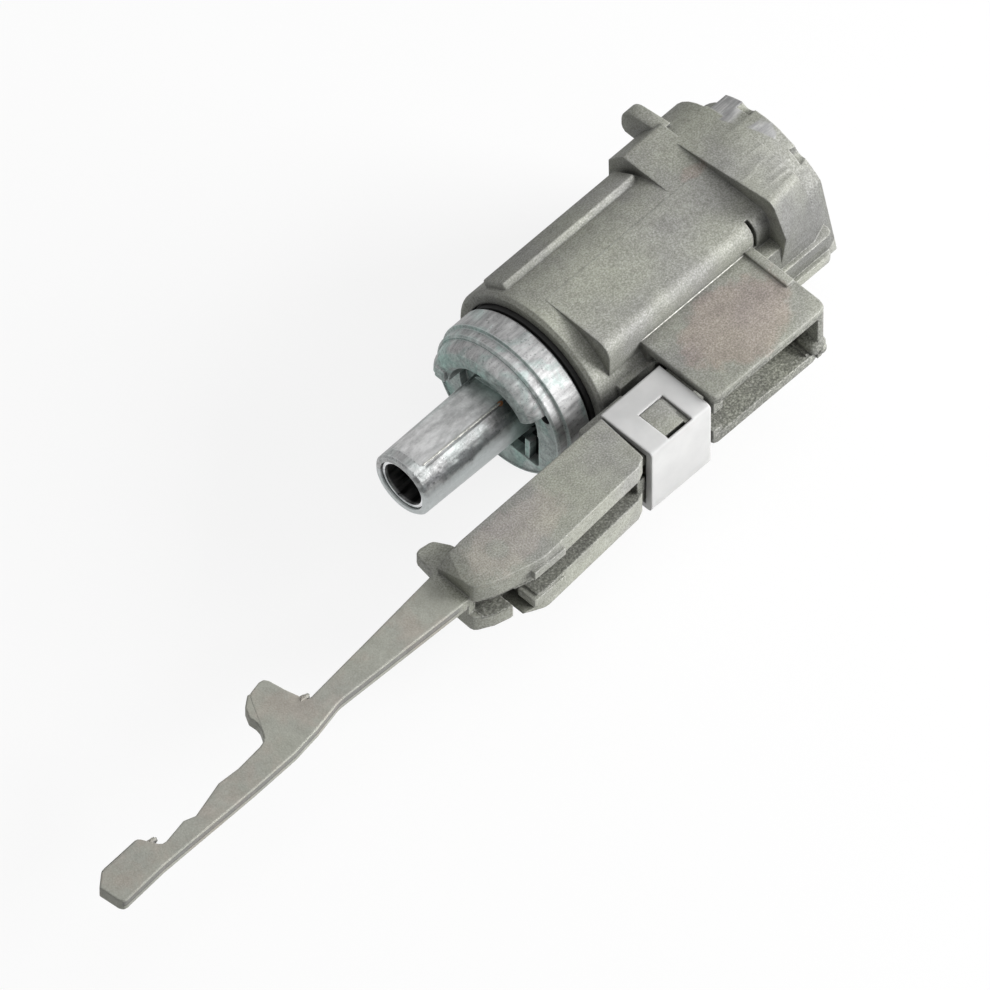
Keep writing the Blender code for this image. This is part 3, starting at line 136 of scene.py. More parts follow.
surround_tree.links.new(towards_window.outputs["Value"], room_level.inputs["Value"])
surround_tree.links.new(room_level.outputs["Result"], light_of_room.inputs["Strength"])
white_of_room = surround_tree.nodes.new("ShaderNodeBackground")
white_of_room.inputs["Color"].default_value = WHITE
white_of_room.inputs["Strength"].default_value = 1.0
room = surround_tree.nodes.new("ShaderNodeMixShader")
surround_tree.links.new(seen_as_background(surround_tree), room.inputs["Fac"])
surround_tree.links.new(light_of_room.outputs["Background"], room.inputs[1])
surround_tree.links.new(white_of_room.outputs["Background"], room.inputs[2])
surround_tree.links.new(room.outputs["Shader"], surround_tree.nodes["World Output"].inputs["Surface"])

floor_mesh = bpy.data.meshes.new("floor")
floor_shape = bmesh.new()
bmesh.ops.create_grid(floor_shape, x_segments=1, y_segments=1, size=FLOOR_HALF)
floor_shape.to_mesh(floor_mesh)
floor_shape.free()
floor = bpy.data.objects.new("floor", floor_mesh)
scene.collection.objects.link(floor)
floor_white = bpy.data.materials.new("floor_white")
floor_white.use_nodes = True
floor_tree = floor_white.node_tree
paint = floor_tree.nodes["Principled BSDF"]
paint.inputs["Roughness"].default_value = 0.9
paint.inputs["Specular IOR Level"].default_value = 0.1
pale = floor_tree.nodes.new("ShaderNodeMix")
pale.data_type = "RGBA"
pale.inputs[6].default_value = FLOOR_GREY
pale.inputs[7].default_value = FLOOR_WHITE
floor_tree.links.new(seen_as_background(floor_tree), pale.inputs[0])
floor_tree.links.new(pale.outputs[2], paint.inputs["Base Color"])
glow = floor_tree.nodes.new("ShaderNodeEmission")
glow.inputs["Color"].default_value = WHITE
glow.inputs["Strength"].default_value = 1.0
share = floor_tree.nodes.new("ShaderNodeMath")
share.operation = "MULTIPLY"
share.inputs[1].default_value = FLOOR_GLOW
floor_tree.links.new(seen_as_background(floor_tree), share.inputs[0])
cover = floor_tree.nodes.new("ShaderNodeMixShader")
floor_tree.links.new(share.outputs[0], cover.inputs["Fac"])
floor_tree.links.new(paint.outputs["BSDF"], cover.inputs[1])
floor_tree.links.new(glow.outputs["Emission"], cover.inputs[2])
floor_tree.links.new(cover.outputs["Shader"], floor_tree.nodes["Material Output"].inputs["Surface"])
floor_mesh.materials.append(floor_white)


def soft_light(name, direction, distance, size, level):
    """A square soft light, at the level that it gives to a face turned straight towards it"""
    data = bpy.data.lights.new(name, "AREA")
    data.size = size
    data.energy = level * (math.pi * distance) ** 2
    light = bpy.data.objects.new(name, data)
    direction = Vector(direction).normalized()
    light.location = Vector(LIGHT_AIM) + direction * distance
    light.rotation_euler = direction.to_track_quat("Z", "Y").to_euler()
    scene.collection.objects.link(light)


soft_light("side_light", (-0.8, 0.75, 0.43), distance=0.8, size=0.45, level=1.55)
soft_light("top_light", (-0.1, 0.3, 1.0), distance=0.9, size=0.8, level=0.18)

# Housing: barrel, head, rail, fins and lever pocket in one zinc die casting. It is left as it came from the
# die, with a fine pebbled grain, a machined band on the head's rim, rubbed edges and a few brownish stains.
ZINC_GRAIN = 4300.0          # grains in a metre
SLOT_GRAIN = 3000.0          # the coarser skin inside pockets and slots
ZINC_DARK = (0.222, 0.224, 0.194)
ZINC_MIDDLE = (0.312, 0.316, 0.276)
ZINC_LIGHT = (0.43, 0.435, 0.395)
ZINC_WORN = (0.56, 0.56, 0.53)
STAIN_TINT = (1.08, 0.95, 0.94)
LEVER_SIDE_SHADE = (0.86, 0.86, 0.87)
HEAD_SIDE_SHADE = (0.6, 0.6, 0.61)
FAR_FLANK_SHADE = (0.5, 0.5, 0.5)
BAND_R = 14.4                # radius of the turned band, in millimetres
BAND_END = 2.7               # where it ends on top, from the key face
BAND_SLANT = 0.36            # it ends nearer to the key face towards the lever


class Finish:
    """One surface finish, built up in layers and then put on the shader"""

    def __init__(self, name, roughness, metallic):
        self.material = bpy.data.materials.new(name)
        self.material.use_nodes = True
        self.tree = self.material.node_tree
        self.shader = self.tree.nodes["Principled BSDF"]
        self.shader.inputs["Roughness"].default_value = roughness
        self.shader.inputs["Metallic"].default_value = metallic
        self.coordinates = self.add("ShaderNodeTexCoord")
        self.place = self.coordinates.outputs["Object"]
        self.colour = None
        self.roughness = None
        self.normal = None

    def add(self, kind, **settings):
        """A new node, with its settings"""
        node = self.tree.nodes.new(kind)
        for key, value in settings.items():
            setattr(node, key, value)
        return node

    def put(self, value, socket):
        """Sets a socket to a number or colour, or links it to an output"""
        if isinstance(value, (int, float)):
            socket.default_value = value
        elif isinstance(value, (tuple, Vector)):
            size = len(socket.default_value)
            socket.default_value = (*value, 1.0)[:size]
        else:
            self.tree.links.new(value, socket)

    def noise(self, scale, detail=2.0, roughness=0.5, stretch=None, distortion=0.0):
        """Cloudy grain, with scale in clouds a metre; stretch draws it out along an axis"""
        node = self.add("ShaderNodeTexNoise")
        node.inputs["Scale"].default_value = scale
        node.inputs["Detail"].default_value = detail
        node.inputs["Roughness"].default_value = roughness
        node.inputs["Distortion"].default_value = distortion
        place = self.place
        if stretch:
            mapping = self.add("ShaderNodeMapping")
            mapping.inputs["Scale"].default_value = stretch
            self.put(place, mapping.inputs["Vector"])
            place = mapping.outputs["Vector"]
        self.put(place, node.inputs["Vector"])
        return node.outputs["Fac"]

    def ramp(self, value, *stops):
        """A colour or number for each value, from (value, colour) stops"""
        node = self.add("ShaderNodeValToRGB")
        while len(node.color_ramp.elements) < len(stops):
            node.color_ramp.elements.new(0.5)
        for element, (position, colour) in zip(node.color_ramp.elements, stops):
            element.position = position
            element.color = (*colour, 1.0) if isinstance(colour, tuple) else (colour, colour, colour, 1.0)
        self.put(value, node.inputs["Fac"])
        return node.outputs["Color"]

    def fade(self, value, start, end):
        """0 up to start and 1 from end on, smooth between; end may be the smaller"""
        node = self.add("ShaderNodeMapRange", interpolation_type="SMOOTHSTEP")
        low, high = min(start, end), max(start, end)
        self.put(value, node.inputs["Value"])
        node.inputs["From Min"].default_value = low
        node.inputs["From Max"].default_value = high
        node.inputs["To Min"].default_value = 0.0 if start < end else 1.0
        node.inputs["To Max"].default_value = 1.0 if start < end else 0.0
        return node.outputs["Result"]

    def mix(self, factor, first, second, blend="MIX"):
        """The first colour at factor 0 and the second at 1, or the two blended in another way"""
        node = self.add("ShaderNodeMix", data_type="RGBA", blend_type=blend)
        self.put(factor, node.inputs[0])
        self.put(first, node.inputs[6])
        self.put(second, node.inputs[7])
        return node.outputs[2]

    def maths(self, operation, first, second=0.0):
        """A sum of one or two numbers"""
        node = self.add("ShaderNodeMath", operation=operation)
        self.put(first, node.inputs[0])
        self.put(second, node.inputs[1])
        return node.outputs[0]

    def times(self, *values):
        """All the values multiplied, such as masks that all have to hold"""
        product = values[0]
        for value in values[1:]:
            product = self.maths("MULTIPLY", product, value)
        return product

    def vector(self, operation, first, second=None, output="Vector"):
        """A vector sum; a length or dot product is its Value output"""
        node = self.add("ShaderNodeVectorMath", operation=operation)
        self.put(first, node.inputs[0])
        if second is not None:
            self.put(second, node.inputs[1])
        return node.outputs[output]

    def part_of(self, vector, axis):
        """A vector's X, Y or Z"""
        node = self.add("ShaderNodeSeparateXYZ")
        self.put(vector, node.inputs[0])
        return node.outputs[axis]

    def along(self, axis, start, end):
        """Fades in from start to end along X, Y or Z, in millimetres from the key face or the axis"""
        base = {"X": KEY_FACE_X, "Y": 0.0, "Z": AXIS_Z}[axis]
        return self.fade(self.part_of(self.place, axis), base + start * MM, base + end * MM)

    def span(self, axis, start, end, soft=0.1):
        """1 between start and end along an axis, fading over soft millimetres outside them"""
        return self.times(self.along(axis, start - soft, start), self.along(axis, end + soft, end))

    def from_axis(self):
        """Distance from the cylinder's axis"""
        flat = self.vector("MULTIPLY", self.place, (0.0, 1.0, 1.0))
        return self.vector("LENGTH", self.vector("SUBTRACT", flat, (0.0, 0.0, AXIS_Z)), output="Value")

    def round_angle(self):
        """Degrees round the cylinder's axis, from the lever's side over the top"""
        up = self.maths("SUBTRACT", self.part_of(self.place, "Z"), AXIS_Z)
        angle = self.maths("ARCTAN2", up, self.part_of(self.place, "Y"))
        return self.maths("MULTIPLY", angle, math.degrees(1.0))

    def facing(self, axis, low, high):
        """1 where the face looks along +X, +Y or +Z"""
        return self.fade(self.part_of(self.coordinates.outputs["Normal"], axis), low, high)

    def patch(self, centre, size, ragged=0.8, grain=350.0):
        """1 inside a ragged round patch with this centre and these half sizes, in millimetres"""
        reach = self.vector("SUBTRACT", self.place, at(*centre))
        reach = self.vector("MULTIPLY", reach, tuple(1.0 / (half * MM) for half in size))
        distance = self.vector("LENGTH", reach, output="Value")
        edge = self.times(self.maths("SUBTRACT", self.noise(grain, 4.0, 0.6), 0.5), ragged)
        return self.fade(self.maths("ADD", distance, edge), 1.1, 0.75)

    def bump(self, height, strength, distance):
        """Lifts the surface a little where height is large, on top of earlier bumps"""
        node = self.add("ShaderNodeBump")
        node.inputs["Strength"].default_value = strength
        node.inputs["Distance"].default_value = distance
        self.put(height, node.inputs["Height"])
        if self.normal is not None:
            self.put(self.normal, node.inputs["Normal"])
        self.normal = node.outputs["Normal"]

    def round_edges(self, radius):
        """Rounds the edges in the shading, and gives 1 on edges and 0 on faces"""
        node = self.add("ShaderNodeBevel", samples=6)
        node.inputs["Radius"].default_value = radius
        self.normal = node.outputs["Normal"]
        true_normal = self.add("ShaderNodeNewGeometry").outputs["Normal"]
        lean = self.vector("DOT_PRODUCT", self.normal, true_normal, output="Value")
        return self.fade(lean, 0.995, 0.87)

    def nooks(self, distance):
        """0 in deep corners and 1 in the open"""
        node = self.add("ShaderNodeAmbientOcclusion", samples=8)
        node.inputs["Distance"].default_value = distance
        return node.outputs["AO"]

    def tint(self, mask, colour):
        """Multiplies the colour where the mask is 1"""
        self.colour = self.mix(mask, self.colour, self.mix(1.0, self.colour, colour, "MULTIPLY"))

    def cover(self, mask, colour):
        """Paints over the colour where the mask is 1"""
        self.colour = self.mix(mask, self.colour, colour)

    def finish(self):
        """Joins the layers to the shader"""
        for value, socket in (
            (self.colour, "Base Color"), (self.roughness, "Roughness"), (self.normal, "Normal")
        ):
            if value is not None:
                self.put(value, self.shader.inputs[socket])
        return self.material


SHARP_EDGE = 28.0            # degrees of bend from which an edge stays sharp


def shade_smooth(node_name):
    """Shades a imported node's round faces smoothly and keeps its sharp edges"""
    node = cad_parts[node_name]
    if "smooth_by_angle" not in bpy.data.node_groups:
        group = bpy.data.node_groups.new("smooth_by_angle", "GeometryNodeTree")
        group.interface.new_socket("Geometry", in_out="INPUT", socket_type="NodeSocketGeometry")
        group.interface.new_socket("Geometry", in_out="OUTPUT", socket_type="NodeSocketGeometry")
        start = group.nodes.new("NodeGroupInput")
        end = group.nodes.new("NodeGroupOutput")
        weld = group.nodes.new("GeometryNodeMergeByDistance")
        weld.inputs["Distance"].default_value = 0.001 * MM
        faces = group.nodes.new("GeometryNodeSetShadeSmooth")
        edges = group.nodes.new("GeometryNodeSetShadeSmooth")
        edges.domain = "EDGE"
        edges.inputs["Shade Smooth"].default_value = False
        bend = group.nodes.new("GeometryNodeInputMeshEdgeAngle")
        sharper = group.nodes.new("FunctionNodeCompare")
        sharper.operation = "GREATER_THAN"
        sharper.inputs["B"].default_value = math.radians(SHARP_EDGE)
        link = group.links.new
        link(start.outputs["Geometry"], weld.inputs["Geometry"])
        link(weld.outputs["Geometry"], faces.inputs["Geometry"])
        link(faces.outputs["Geometry"], edges.inputs["Geometry"])
        link(bend.outputs["Unsigned Angle"], sharper.inputs["A"])
        link(sharper.outputs["Result"], edges.inputs["Selection"])
        link(edges.outputs["Geometry"], end.inputs["Geometry"])
    step = node.modifiers.new("smooth_by_angle", "NODES")
    step.node_group = bpy.data.node_groups["smooth_by_angle"]
    return node


def dress(node_name, material):
    """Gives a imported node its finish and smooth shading"""
    for slot in shade_smooth(node_name).material_slots:
        slot.material = material


def cast_zinc(name):
    """Zinc as cast: olive grey, finely pebbled and lighter where it is rubbed; painted shade in its corners
    is added afterwards
    """
    look = Finish(name, 0.58, 0.15)
    grain = look.noise(ZINC_GRAIN, 2.0, 0.6)
    mottle = look.noise(520.0, 3.0, 0.6)
    cloud = look.noise(95.0, 2.0, 0.5)
    look.colour = look.ramp(grain, (0.3, ZINC_DARK), (0.5, ZINC_MIDDLE), (0.72, ZINC_LIGHT))
    look.colour = look.mix(1.0, look.colour, look.ramp(mottle, (0.35, 0.9), (0.65, 1.08)), "MULTIPLY")
    look.colour = look.mix(1.0, look.colour, look.ramp(
        cloud, (0.36, (0.93, 0.92, 0.97)), (0.5, (1.0, 1.0, 1.0)), (0.66, (1.05, 1.06, 1.02))
    ), "MULTIPLY")
    sparkle = look.ramp(look.noise(2600.0, 1.0, 0.5), (0.7, 0.0), (0.77, 1.0))
    look.cover(look.times(sparkle, 0.5), ZINC_WORN)
    worn = look.round_edges(0.35 * MM)
    scuff = look.ramp(look.noise(1300.0, 3.0, 0.7), (0.38, 0.15), (0.62, 1.0))
    look.cover(look.times(worn, scuff, 0.6), ZINC_WORN)
    look.roughness = look.ramp(grain, (0.3, 0.68), (0.7, 0.5))
    look.bump(grain, 0.5, 0.05 * MM)
    look.bump(mottle, 0.25, 0.12 * MM)
    return look


def paint_corner_shade(look, distance=3.0 * MM, darkest=0.32):
    """Paints shade into the corners: the colour is darkened where ambient occlusion finds them closed in"""
    shade = look.ramp(look.nooks(distance), (0.25, darkest), (0.8, 1.0))
    look.colour = look.mix(1.0, look.colour, shade, "MULTIPLY")


# The turned band on the rim
housing_look = cast_zinc("cast_zinc_housing")
radius = housing_look.from_axis()
slanted = housing_look.vector("DOT_PRODUCT", housing_look.place, (1.0, BAND_SLANT, 0.0), output="Value")
band_edge = housing_look.fade(
    slanted, KEY_FACE_X + (BAND_END + 0.2) * MM, KEY_FACE_X + (BAND_END - 0.2) * MM
)
band = housing_look.times(
    housing_look.fade(radius, (BAND_R - 0.1) * MM, (BAND_R - 0.04) * MM),
    housing_look.fade(radius, (BAND_R + 0.1) * MM, (BAND_R + 0.04) * MM),
    band_edge,
)
streaks = housing_look.noise(1900.0, 3.0, 0.65, (0.12, 1.0, 1.0))
cloudy = housing_look.noise(420.0, 3.0, 0.6)
machined = housing_look.ramp(
    housing_look.mix(0.4, streaks, cloudy),
    (0.36, (0.27, 0.27, 0.27)), (0.5, (0.38, 0.38, 0.38)), (0.62, (0.6, 0.6, 0.59)),
)
housing_look.cover(band, machined)
# The seam of the die along the top, and two stains
seam_line = housing_look.times(
    housing_look.span("Y", -0.54, -0.46, 0.07),
    housing_look.span("X", 16.0, 40.5, 0.5),
    housing_look.along("Z", 12.0, 13.0),
    housing_look.ramp(housing_look.noise(500.0, 3.0, 0.7), (0.42, 0.0), (0.56, 1.0)),
)
housing_look.cover(housing_look.times(seam_line, 0.45), ZINC_WORN)
pocket_stain = housing_look.times(
    housing_look.patch((25.0, 18.0, 9.7), (9.5, 6.2, 3.0), 1.3), housing_look.along("Z", 9.0, 9.4)
)
housing_look.tint(pocket_stain, STAIN_TINT)
small_stain = housing_look.patch((12.8, -1.0, 14.2), (2.6, 1.2, 2.0), 1.4)
housing_look.tint(housing_look.times(small_stain, 0.8), STAIN_TINT)
# The pocket's deep wall is coarser and darker with painted recess shade; the upright sides get painted shade
deep_wall = housing_look.times(
    housing_look.span("X", 14.5, 34.8),
    housing_look.span("Z", -0.6, 9.0),
    housing_look.along("Y", 11.8, 12.2),
)
coarse = housing_look.noise(SLOT_GRAIN, 2.0, 0.6)
housing_look.tint(deep_wall, housing_look.ramp(coarse, (0.34, 0.5), (0.5, 0.78), (0.66, 1.3)))
# painted shade by facing: sides towards the lever a little darker, the head's side and the far flank much
# darker
towards_lever = housing_look.times(
    housing_look.facing("Y", 0.35, 0.85), housing_look.along("Z", -0.9, -0.4)
)
on_head = housing_look.times(towards_lever, housing_look.along("X", 14.2, 13.6))
housing_look.tint(towards_lever, LEVER_SIDE_SHADE)
housing_look.tint(on_head, HEAD_SIDE_SHADE)
housing_look.tint(housing_look.facing("Y", -0.55, -0.95), FAR_FLANK_SHADE)
# painted shade in the housing's corners
paint_corner_shade(housing_look)
housing_look.bump(coarse, 0.3, 0.06 * MM)
housing_look.bump(streaks, 0.1, 0.04 * MM)
housing_zinc = housing_look.finish()
dress("housing", housing_zinc)


def made_piece(name, shape, body, material):
    """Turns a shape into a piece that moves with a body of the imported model"""
    mesh = bpy.data.meshes.new(name)
    shape.to_mesh(mesh)
    shape.free()
    mesh.materials.append(material)
    piece = bpy.data.objects.new(name, mesh)
    scene.collection.objects.link(piece)
    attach(piece, body)
    return piece


def flash_line(name, corners, thickness, body, material, seed, wander=0.25):
    """A thin ragged ridge, such as the metal that seeps into the joint of a die"""
    chance = random.Random(seed)
    steps = 70
    sides = 6
    shape = bmesh.new()
    rings = []
    spokes = [math.tau * k / sides for k in range(sides)]
    for index in range(steps + 1):
        along = index / steps * (len(corners) - 1)
        first = min(int(along), len(corners) - 2)
        centre = corners[first].lerp(corners[first + 1], along - first)
        axis = (corners[first + 1] - corners[first]).normalized()
        side = axis.orthogonal().normalized()
        other = axis.cross(side)
        reach = thickness * (1.0 + chance.uniform(-1.0, 1.0) * wander)
        if index in (0, steps):
            reach *= 0.2
        centre = centre + side * chance.uniform(-0.2, 0.2) * thickness
        rings.append([
            shape.verts.new(centre + (side * math.cos(angle) + other * math.sin(angle)) * reach)
            for angle in spokes
        ])
    for near, far in zip(rings, rings[1:]):
        for k in range(sides):
            after = (k + 1) % sides
            shape.faces.new((near[k], near[after], far[after], far[k]))
    shape.faces.new(reversed(rings[0]))
    shape.faces.new(rings[-1])
    bmesh.ops.recalc_face_normals(shape, faces=shape.faces)
    for face in shape.faces:
        face.smooth = True
    made_piece(name, shape, body, material)


# Metal that seeped into the pocket's joint, rubbed bright
FLASH_THICKNESS = 0.09 * MM
flash_look = Finish("rubbed_zinc", 0.42, 0.5)
flash_grain = flash_look.noise(2500.0, 2.0, 0.6)
flash_look.colour = flash_look.ramp(flash_grain, (0.35, (0.34, 0.34, 0.31)), (0.65, (0.66, 0.66, 0.62)))
rubbed_zinc = flash_look.finish()
pocket_joint = [at(14.6, 11.22, 9.72), at(35.2, 11.22, 9.72)]
flash_line("pocket_flash", pocket_joint, FLASH_THICKNESS, "barrel", rubbed_zinc, seed=3)


def cast_bead(name, start, end, radius, body, material):
    """A short round bead on a casting's edge, with domed ends"""
    shape = bmesh.new()
    start, end = at(*start), at(*end)
    bmesh.ops.create_uvsphere(shape, u_segments=24, v_segments=16, radius=radius * MM)
    shift = (end - start) / 2
    for corner in shape.verts:
        corner.co = (start + end) / 2 + corner.co + (shift if corner.co.dot(shift) > 0 else -shift)
    for face in shape.faces:
        face.smooth = True
    made_piece(name, shape, body, material)


BEAD_RADIUS = 0.95           # the bead at the pocket's outer corner
cast_bead("pocket_bead", (14.9, 21.2, 0.85), (14.9, 24.3, 0.85), BEAD_RADIUS, "barrel", housing_zinc)

# Face cap at the key end: pressed stainless steel, brushed straight across. The shutter, its pin and
# spring, the clip that holds the plug and the key follower are bright drawn steel.
CAP_DARK = (0.4, 0.4, 0.4)
CAP_LIGHT = (0.66, 0.66, 0.66)
STEEL_DARK = (0.34, 0.34, 0.36)
STEEL_LIGHT = (0.6, 0.6, 0.62)
CAP_BRUSHING = (1.0, 0.15, 1.0)  # brushed across the face
DRAWN_LINES = (0.2, 1.0, 1.0)    # drawn along the cylinder


def bright_steel(name, dark, light, roughness, streaks_per_metre, stretch):
    """Bright steel with fine lines along one direction"""
    look = Finish(name, roughness, 0.95)
    lines = look.noise(streaks_per_metre, 3.0, 0.6, stretch)
    dulled = look.noise(260.0, 3.0, 0.6)
    look.colour = look.ramp(look.mix(0.4, lines, dulled), (0.36, dark), (0.64, light))
    worn = look.round_edges(0.2 * MM)
    look.cover(look.times(worn, 0.4), (0.75, 0.75, 0.76))
    look.roughness = look.ramp(dulled, (0.3, roughness - 0.08), (0.7, roughness + 0.14))
    look.bump(lines, 0.12, 0.02 * MM)
    # painted shade in the corners
    paint_corner_shade(look, 1.5 * MM, 0.35)
    return look.finish()


cap_steel = bright_steel("brushed_cap_steel", CAP_DARK, CAP_LIGHT, 0.3, 2600.0, CAP_BRUSHING)
drawn_steel = bright_steel("drawn_steel", STEEL_DARK, STEEL_LIGHT, 0.28, 1800.0, DRAWN_LINES)
dress("face_cap", cap_steel)
for name in ("key_shutter", "shutter_pin", "shutter_spring", "plug_retainer", "key_follower"):
    dress(name, drawn_steel)

# Plug and its six wafers: machined brass, the wafers stamped from strip. Each wafer stands on a small steel
# spring in the plug, which shortens as its wafer goes down; here the spring is its own coil, riding the
# rotor.
CUTTER_LINES = (1.0, 0.15, 0.15)
SHEAR_LINES = (1.0, 1.0, 0.2)
PLUG_DARK = (0.42, 0.3, 0.12)
PLUG_LIGHT = (0.7, 0.53, 0.25)
WAFER_DARK = (0.4, 0.29, 0.12)
WAFER_LIGHT = (0.64, 0.49, 0.24)
machined_brass = bright_steel("machined_brass", PLUG_DARK, PLUG_LIGHT, 0.32, 2200.0, CUTTER_LINES)
stamped_brass = bright_steel("stamped_brass", WAFER_DARK, WAFER_LIGHT, 0.38, 1500.0, SHEAR_LINES)
dress("key_plug", machined_brass)
for index in range(1, 7):
    dress(f"wafer_{index}", stamped_brass)
    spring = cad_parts[f"wafer_spring_{index}"]
    coil_shape = bmesh.new()
    coil_shape.from_mesh(spring.data)
    bmesh.ops.remove_doubles(coil_shape, verts=coil_shape.verts, dist=0.001 * MM)
    for face in coil_shape.faces:
        face.smooth = True
    coil_shape.transform(spring.matrix_world)
    coil = made_piece(f"wafer_coil_{index}", coil_shape, "rotor", drawn_steel)
    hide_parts(f"wafer_spring_{index}")
    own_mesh(coil)

# Washer in the gap behind the nose: a flat black rubber ring, slipped over the plug's tail before the
# collar. Its near-black is partly painted shade, standing for the deep shadow in the gap. It has a little
# dust on it.
GAP_SHADE_BLACK = (0.006, 0.006, 0.006)
RUBBER_DUSTY = (0.03, 0.03, 0.029)
rubber_look = Finish("black_rubber", 0.7, 0.0)
dust = rubber_look.noise(1500.0, 3.0, 0.6)
rubber_look.colour = rubber_look.ramp(dust, (0.35, GAP_SHADE_BLACK), (0.75, RUBBER_DUSTY))
rubber_look.roughness = rubber_look.ramp(dust, (0.3, 0.55), (0.7, 0.85))
rubber_look.bump(dust, 0.2, 0.03 * MM)
dress("gap_washer", rubber_look.finish())

# Collar: a cast zinc disc with a raised rib, turned on its rim and tumbled bright. It has faint tool lines, a
# grey-green bloom in its hollows and rubbed high spots. Its pin is steel.
BLOOM = (0.83, 1.0, 0.96)
FRONT_BLOOM = (0.84, 0.98, 0.94)
MOUTH_SHADE = (0.16, 0.17, 0.17)


def tumbled_zinc(name, roughness, metallic, line_stretch, bloom_share):
    """Zinc that is turned and tumbled: bright, a little lumpy, with a grey-green bloom"""
    look = Finish(name, roughness, metallic)
    lumps = look.noise(620.0, 3.0, 0.55)
    lines = look.noise(1500.0, 3.0, 0.6, line_stretch)
    cloud = look.noise(240.0, 4.0, 0.65)
    pits = look.noise(2600.0, 2.0, 0.6)
    look.colour = look.ramp(
        look.mix(0.5, lines, cloud),
        (0.35, (0.25, 0.25, 0.25)), (0.5, (0.4, 0.4, 0.4)), (0.65, (0.6, 0.6, 0.6)),
    )
    bloom = look.ramp(look.noise(170.0, 4.0, 0.6, distortion=0.6), (0.46, 0.0), (0.6, 1.0))
    look.tint(look.times(bloom, bloom_share), BLOOM)
    look.tint(look.ramp(pits, (0.3, 1.0), (0.42, 0.0)), (0.6, 0.6, 0.6))
    worn = look.round_edges(0.3 * MM)
    look.cover(look.times(worn, 0.55), (0.78, 0.8, 0.8))
    look.roughness = look.ramp(look.mix(0.5, cloud, pits), (0.35, roughness - 0.1), (0.65, roughness + 0.16))
    look.bump(lumps, 0.7, 0.2 * MM)
    look.bump(lines, 0.25, 0.04 * MM)
    look.bump(pits, 0.3, 0.04 * MM)
    return look


collar_look = tumbled_zinc("tumbled_zinc_collar", 0.6, 0.7, (0.2, 1.0, 1.0), 1.0)
front = collar_look.facing("X", 0.5, 0.9)
collar_look.tint(collar_look.times(front, 0.75), FRONT_BLOOM)
mouth = collar_look.times(
    collar_look.along("X", 49.25, 49.05), collar_look.fade(collar_look.from_axis(), 9.7 * MM, 9.4 * MM)
)
collar_look.tint(mouth, MOUTH_SHADE)
# painted shade in the collar's corners
paint_corner_shade(collar_look, 2.2 * MM, 0.18)
dress("tail_collar", collar_look.finish())
dress("collar_pin", drawn_steel)

# Hollow shaft: turned zinc with a flat along its top, pinned to the plug's tail through the collar. It is
# smoother than the collar, streaked along its length and dented, with a spot of rust where the flat starts.
# Places round it are in degrees from the lever's side over the top.
FLAT_EDGES = (65.0, 133.0)   # the flat's two long edges
FLAT_END = 67.0              # where the flat stops short of the mouth
RAGGED_DEGREES = 36.0        # how far the bands round the shaft wander
RIDGE_THICKNESS = 0.14 * MM
DARK_REFLECTION_TINT = (0.42, 0.43, 0.44)
UNDERSIDE_PAINTED_LIGHT = (0.66, 0.7, 0.7)
ROOT_BLOOM = (0.72, 0.86, 0.82)
RUST = (0.45, 0.18, 0.06)
shaft_look = tumbled_zinc("tumbled_zinc_shaft", 0.46, 0.8, (0.12, 1.0, 1.0), 0.3)
round_shaft = shaft_look.round_angle()
blotch = shaft_look.maths("SUBTRACT", shaft_look.noise(330.0, 3.0, 0.6), 0.5)
ragged_round = shaft_look.maths("ADD", round_shaft, shaft_look.maths("MULTIPLY", blotch, RAGGED_DEGREES))
# painted reflection: a ragged dark band round the shaft's side, where it would mirror the shaded floor under
# the lever
dark_reflection_band = shaft_look.times(
    shaft_look.fade(ragged_round, 22.0, 30.0), shaft_look.fade(ragged_round, 45.0, 37.0)
)
shaft_look.tint(shaft_look.times(dark_reflection_band, 0.9), DARK_REFLECTION_TINT)
# painted light: below the dark band the shaft is painted lighter, as a painted reflection
lower_side = shaft_look.fade(ragged_round, 26.0, 16.0)
shaft_look.cover(shaft_look.times(lower_side, 0.6), UNDERSIDE_PAINTED_LIGHT)
flat = shaft_look.times(
    shaft_look.fade(round_shaft, FLAT_EDGES[0] + 1.5, FLAT_EDGES[0] + 3.5),
    shaft_look.fade(round_shaft, FLAT_EDGES[1], FLAT_EDGES[1] - 3.0),
    shaft_look.along("X", FLAT_END + 0.3, FLAT_END),
)
scuffs = shaft_look.noise(700.0, 4.0, 0.65, (0.5, 1.0, 1.0))
mottled = shaft_look.ramp(scuffs, (0.35, (0.4, 0.4, 0.4)), (0.65, (0.72, 0.72, 0.72)))
shaft_look.cover(shaft_look.times(flat, 0.8), mottled)
# painted shade: a dark line beside the flat's raised edge
shade_beside_ridge = shaft_look.times(
    shaft_look.fade(round_shaft, FLAT_EDGES[0] - 6.5, FLAT_EDGES[0] - 5.0),
    shaft_look.fade(round_shaft, FLAT_EDGES[0] - 1.0, FLAT_EDGES[0] - 2.5),
    shaft_look.along("X", FLAT_END, FLAT_END - 0.5),
)
shaft_look.tint(shade_beside_ridge, (0.4, 0.4, 0.4))
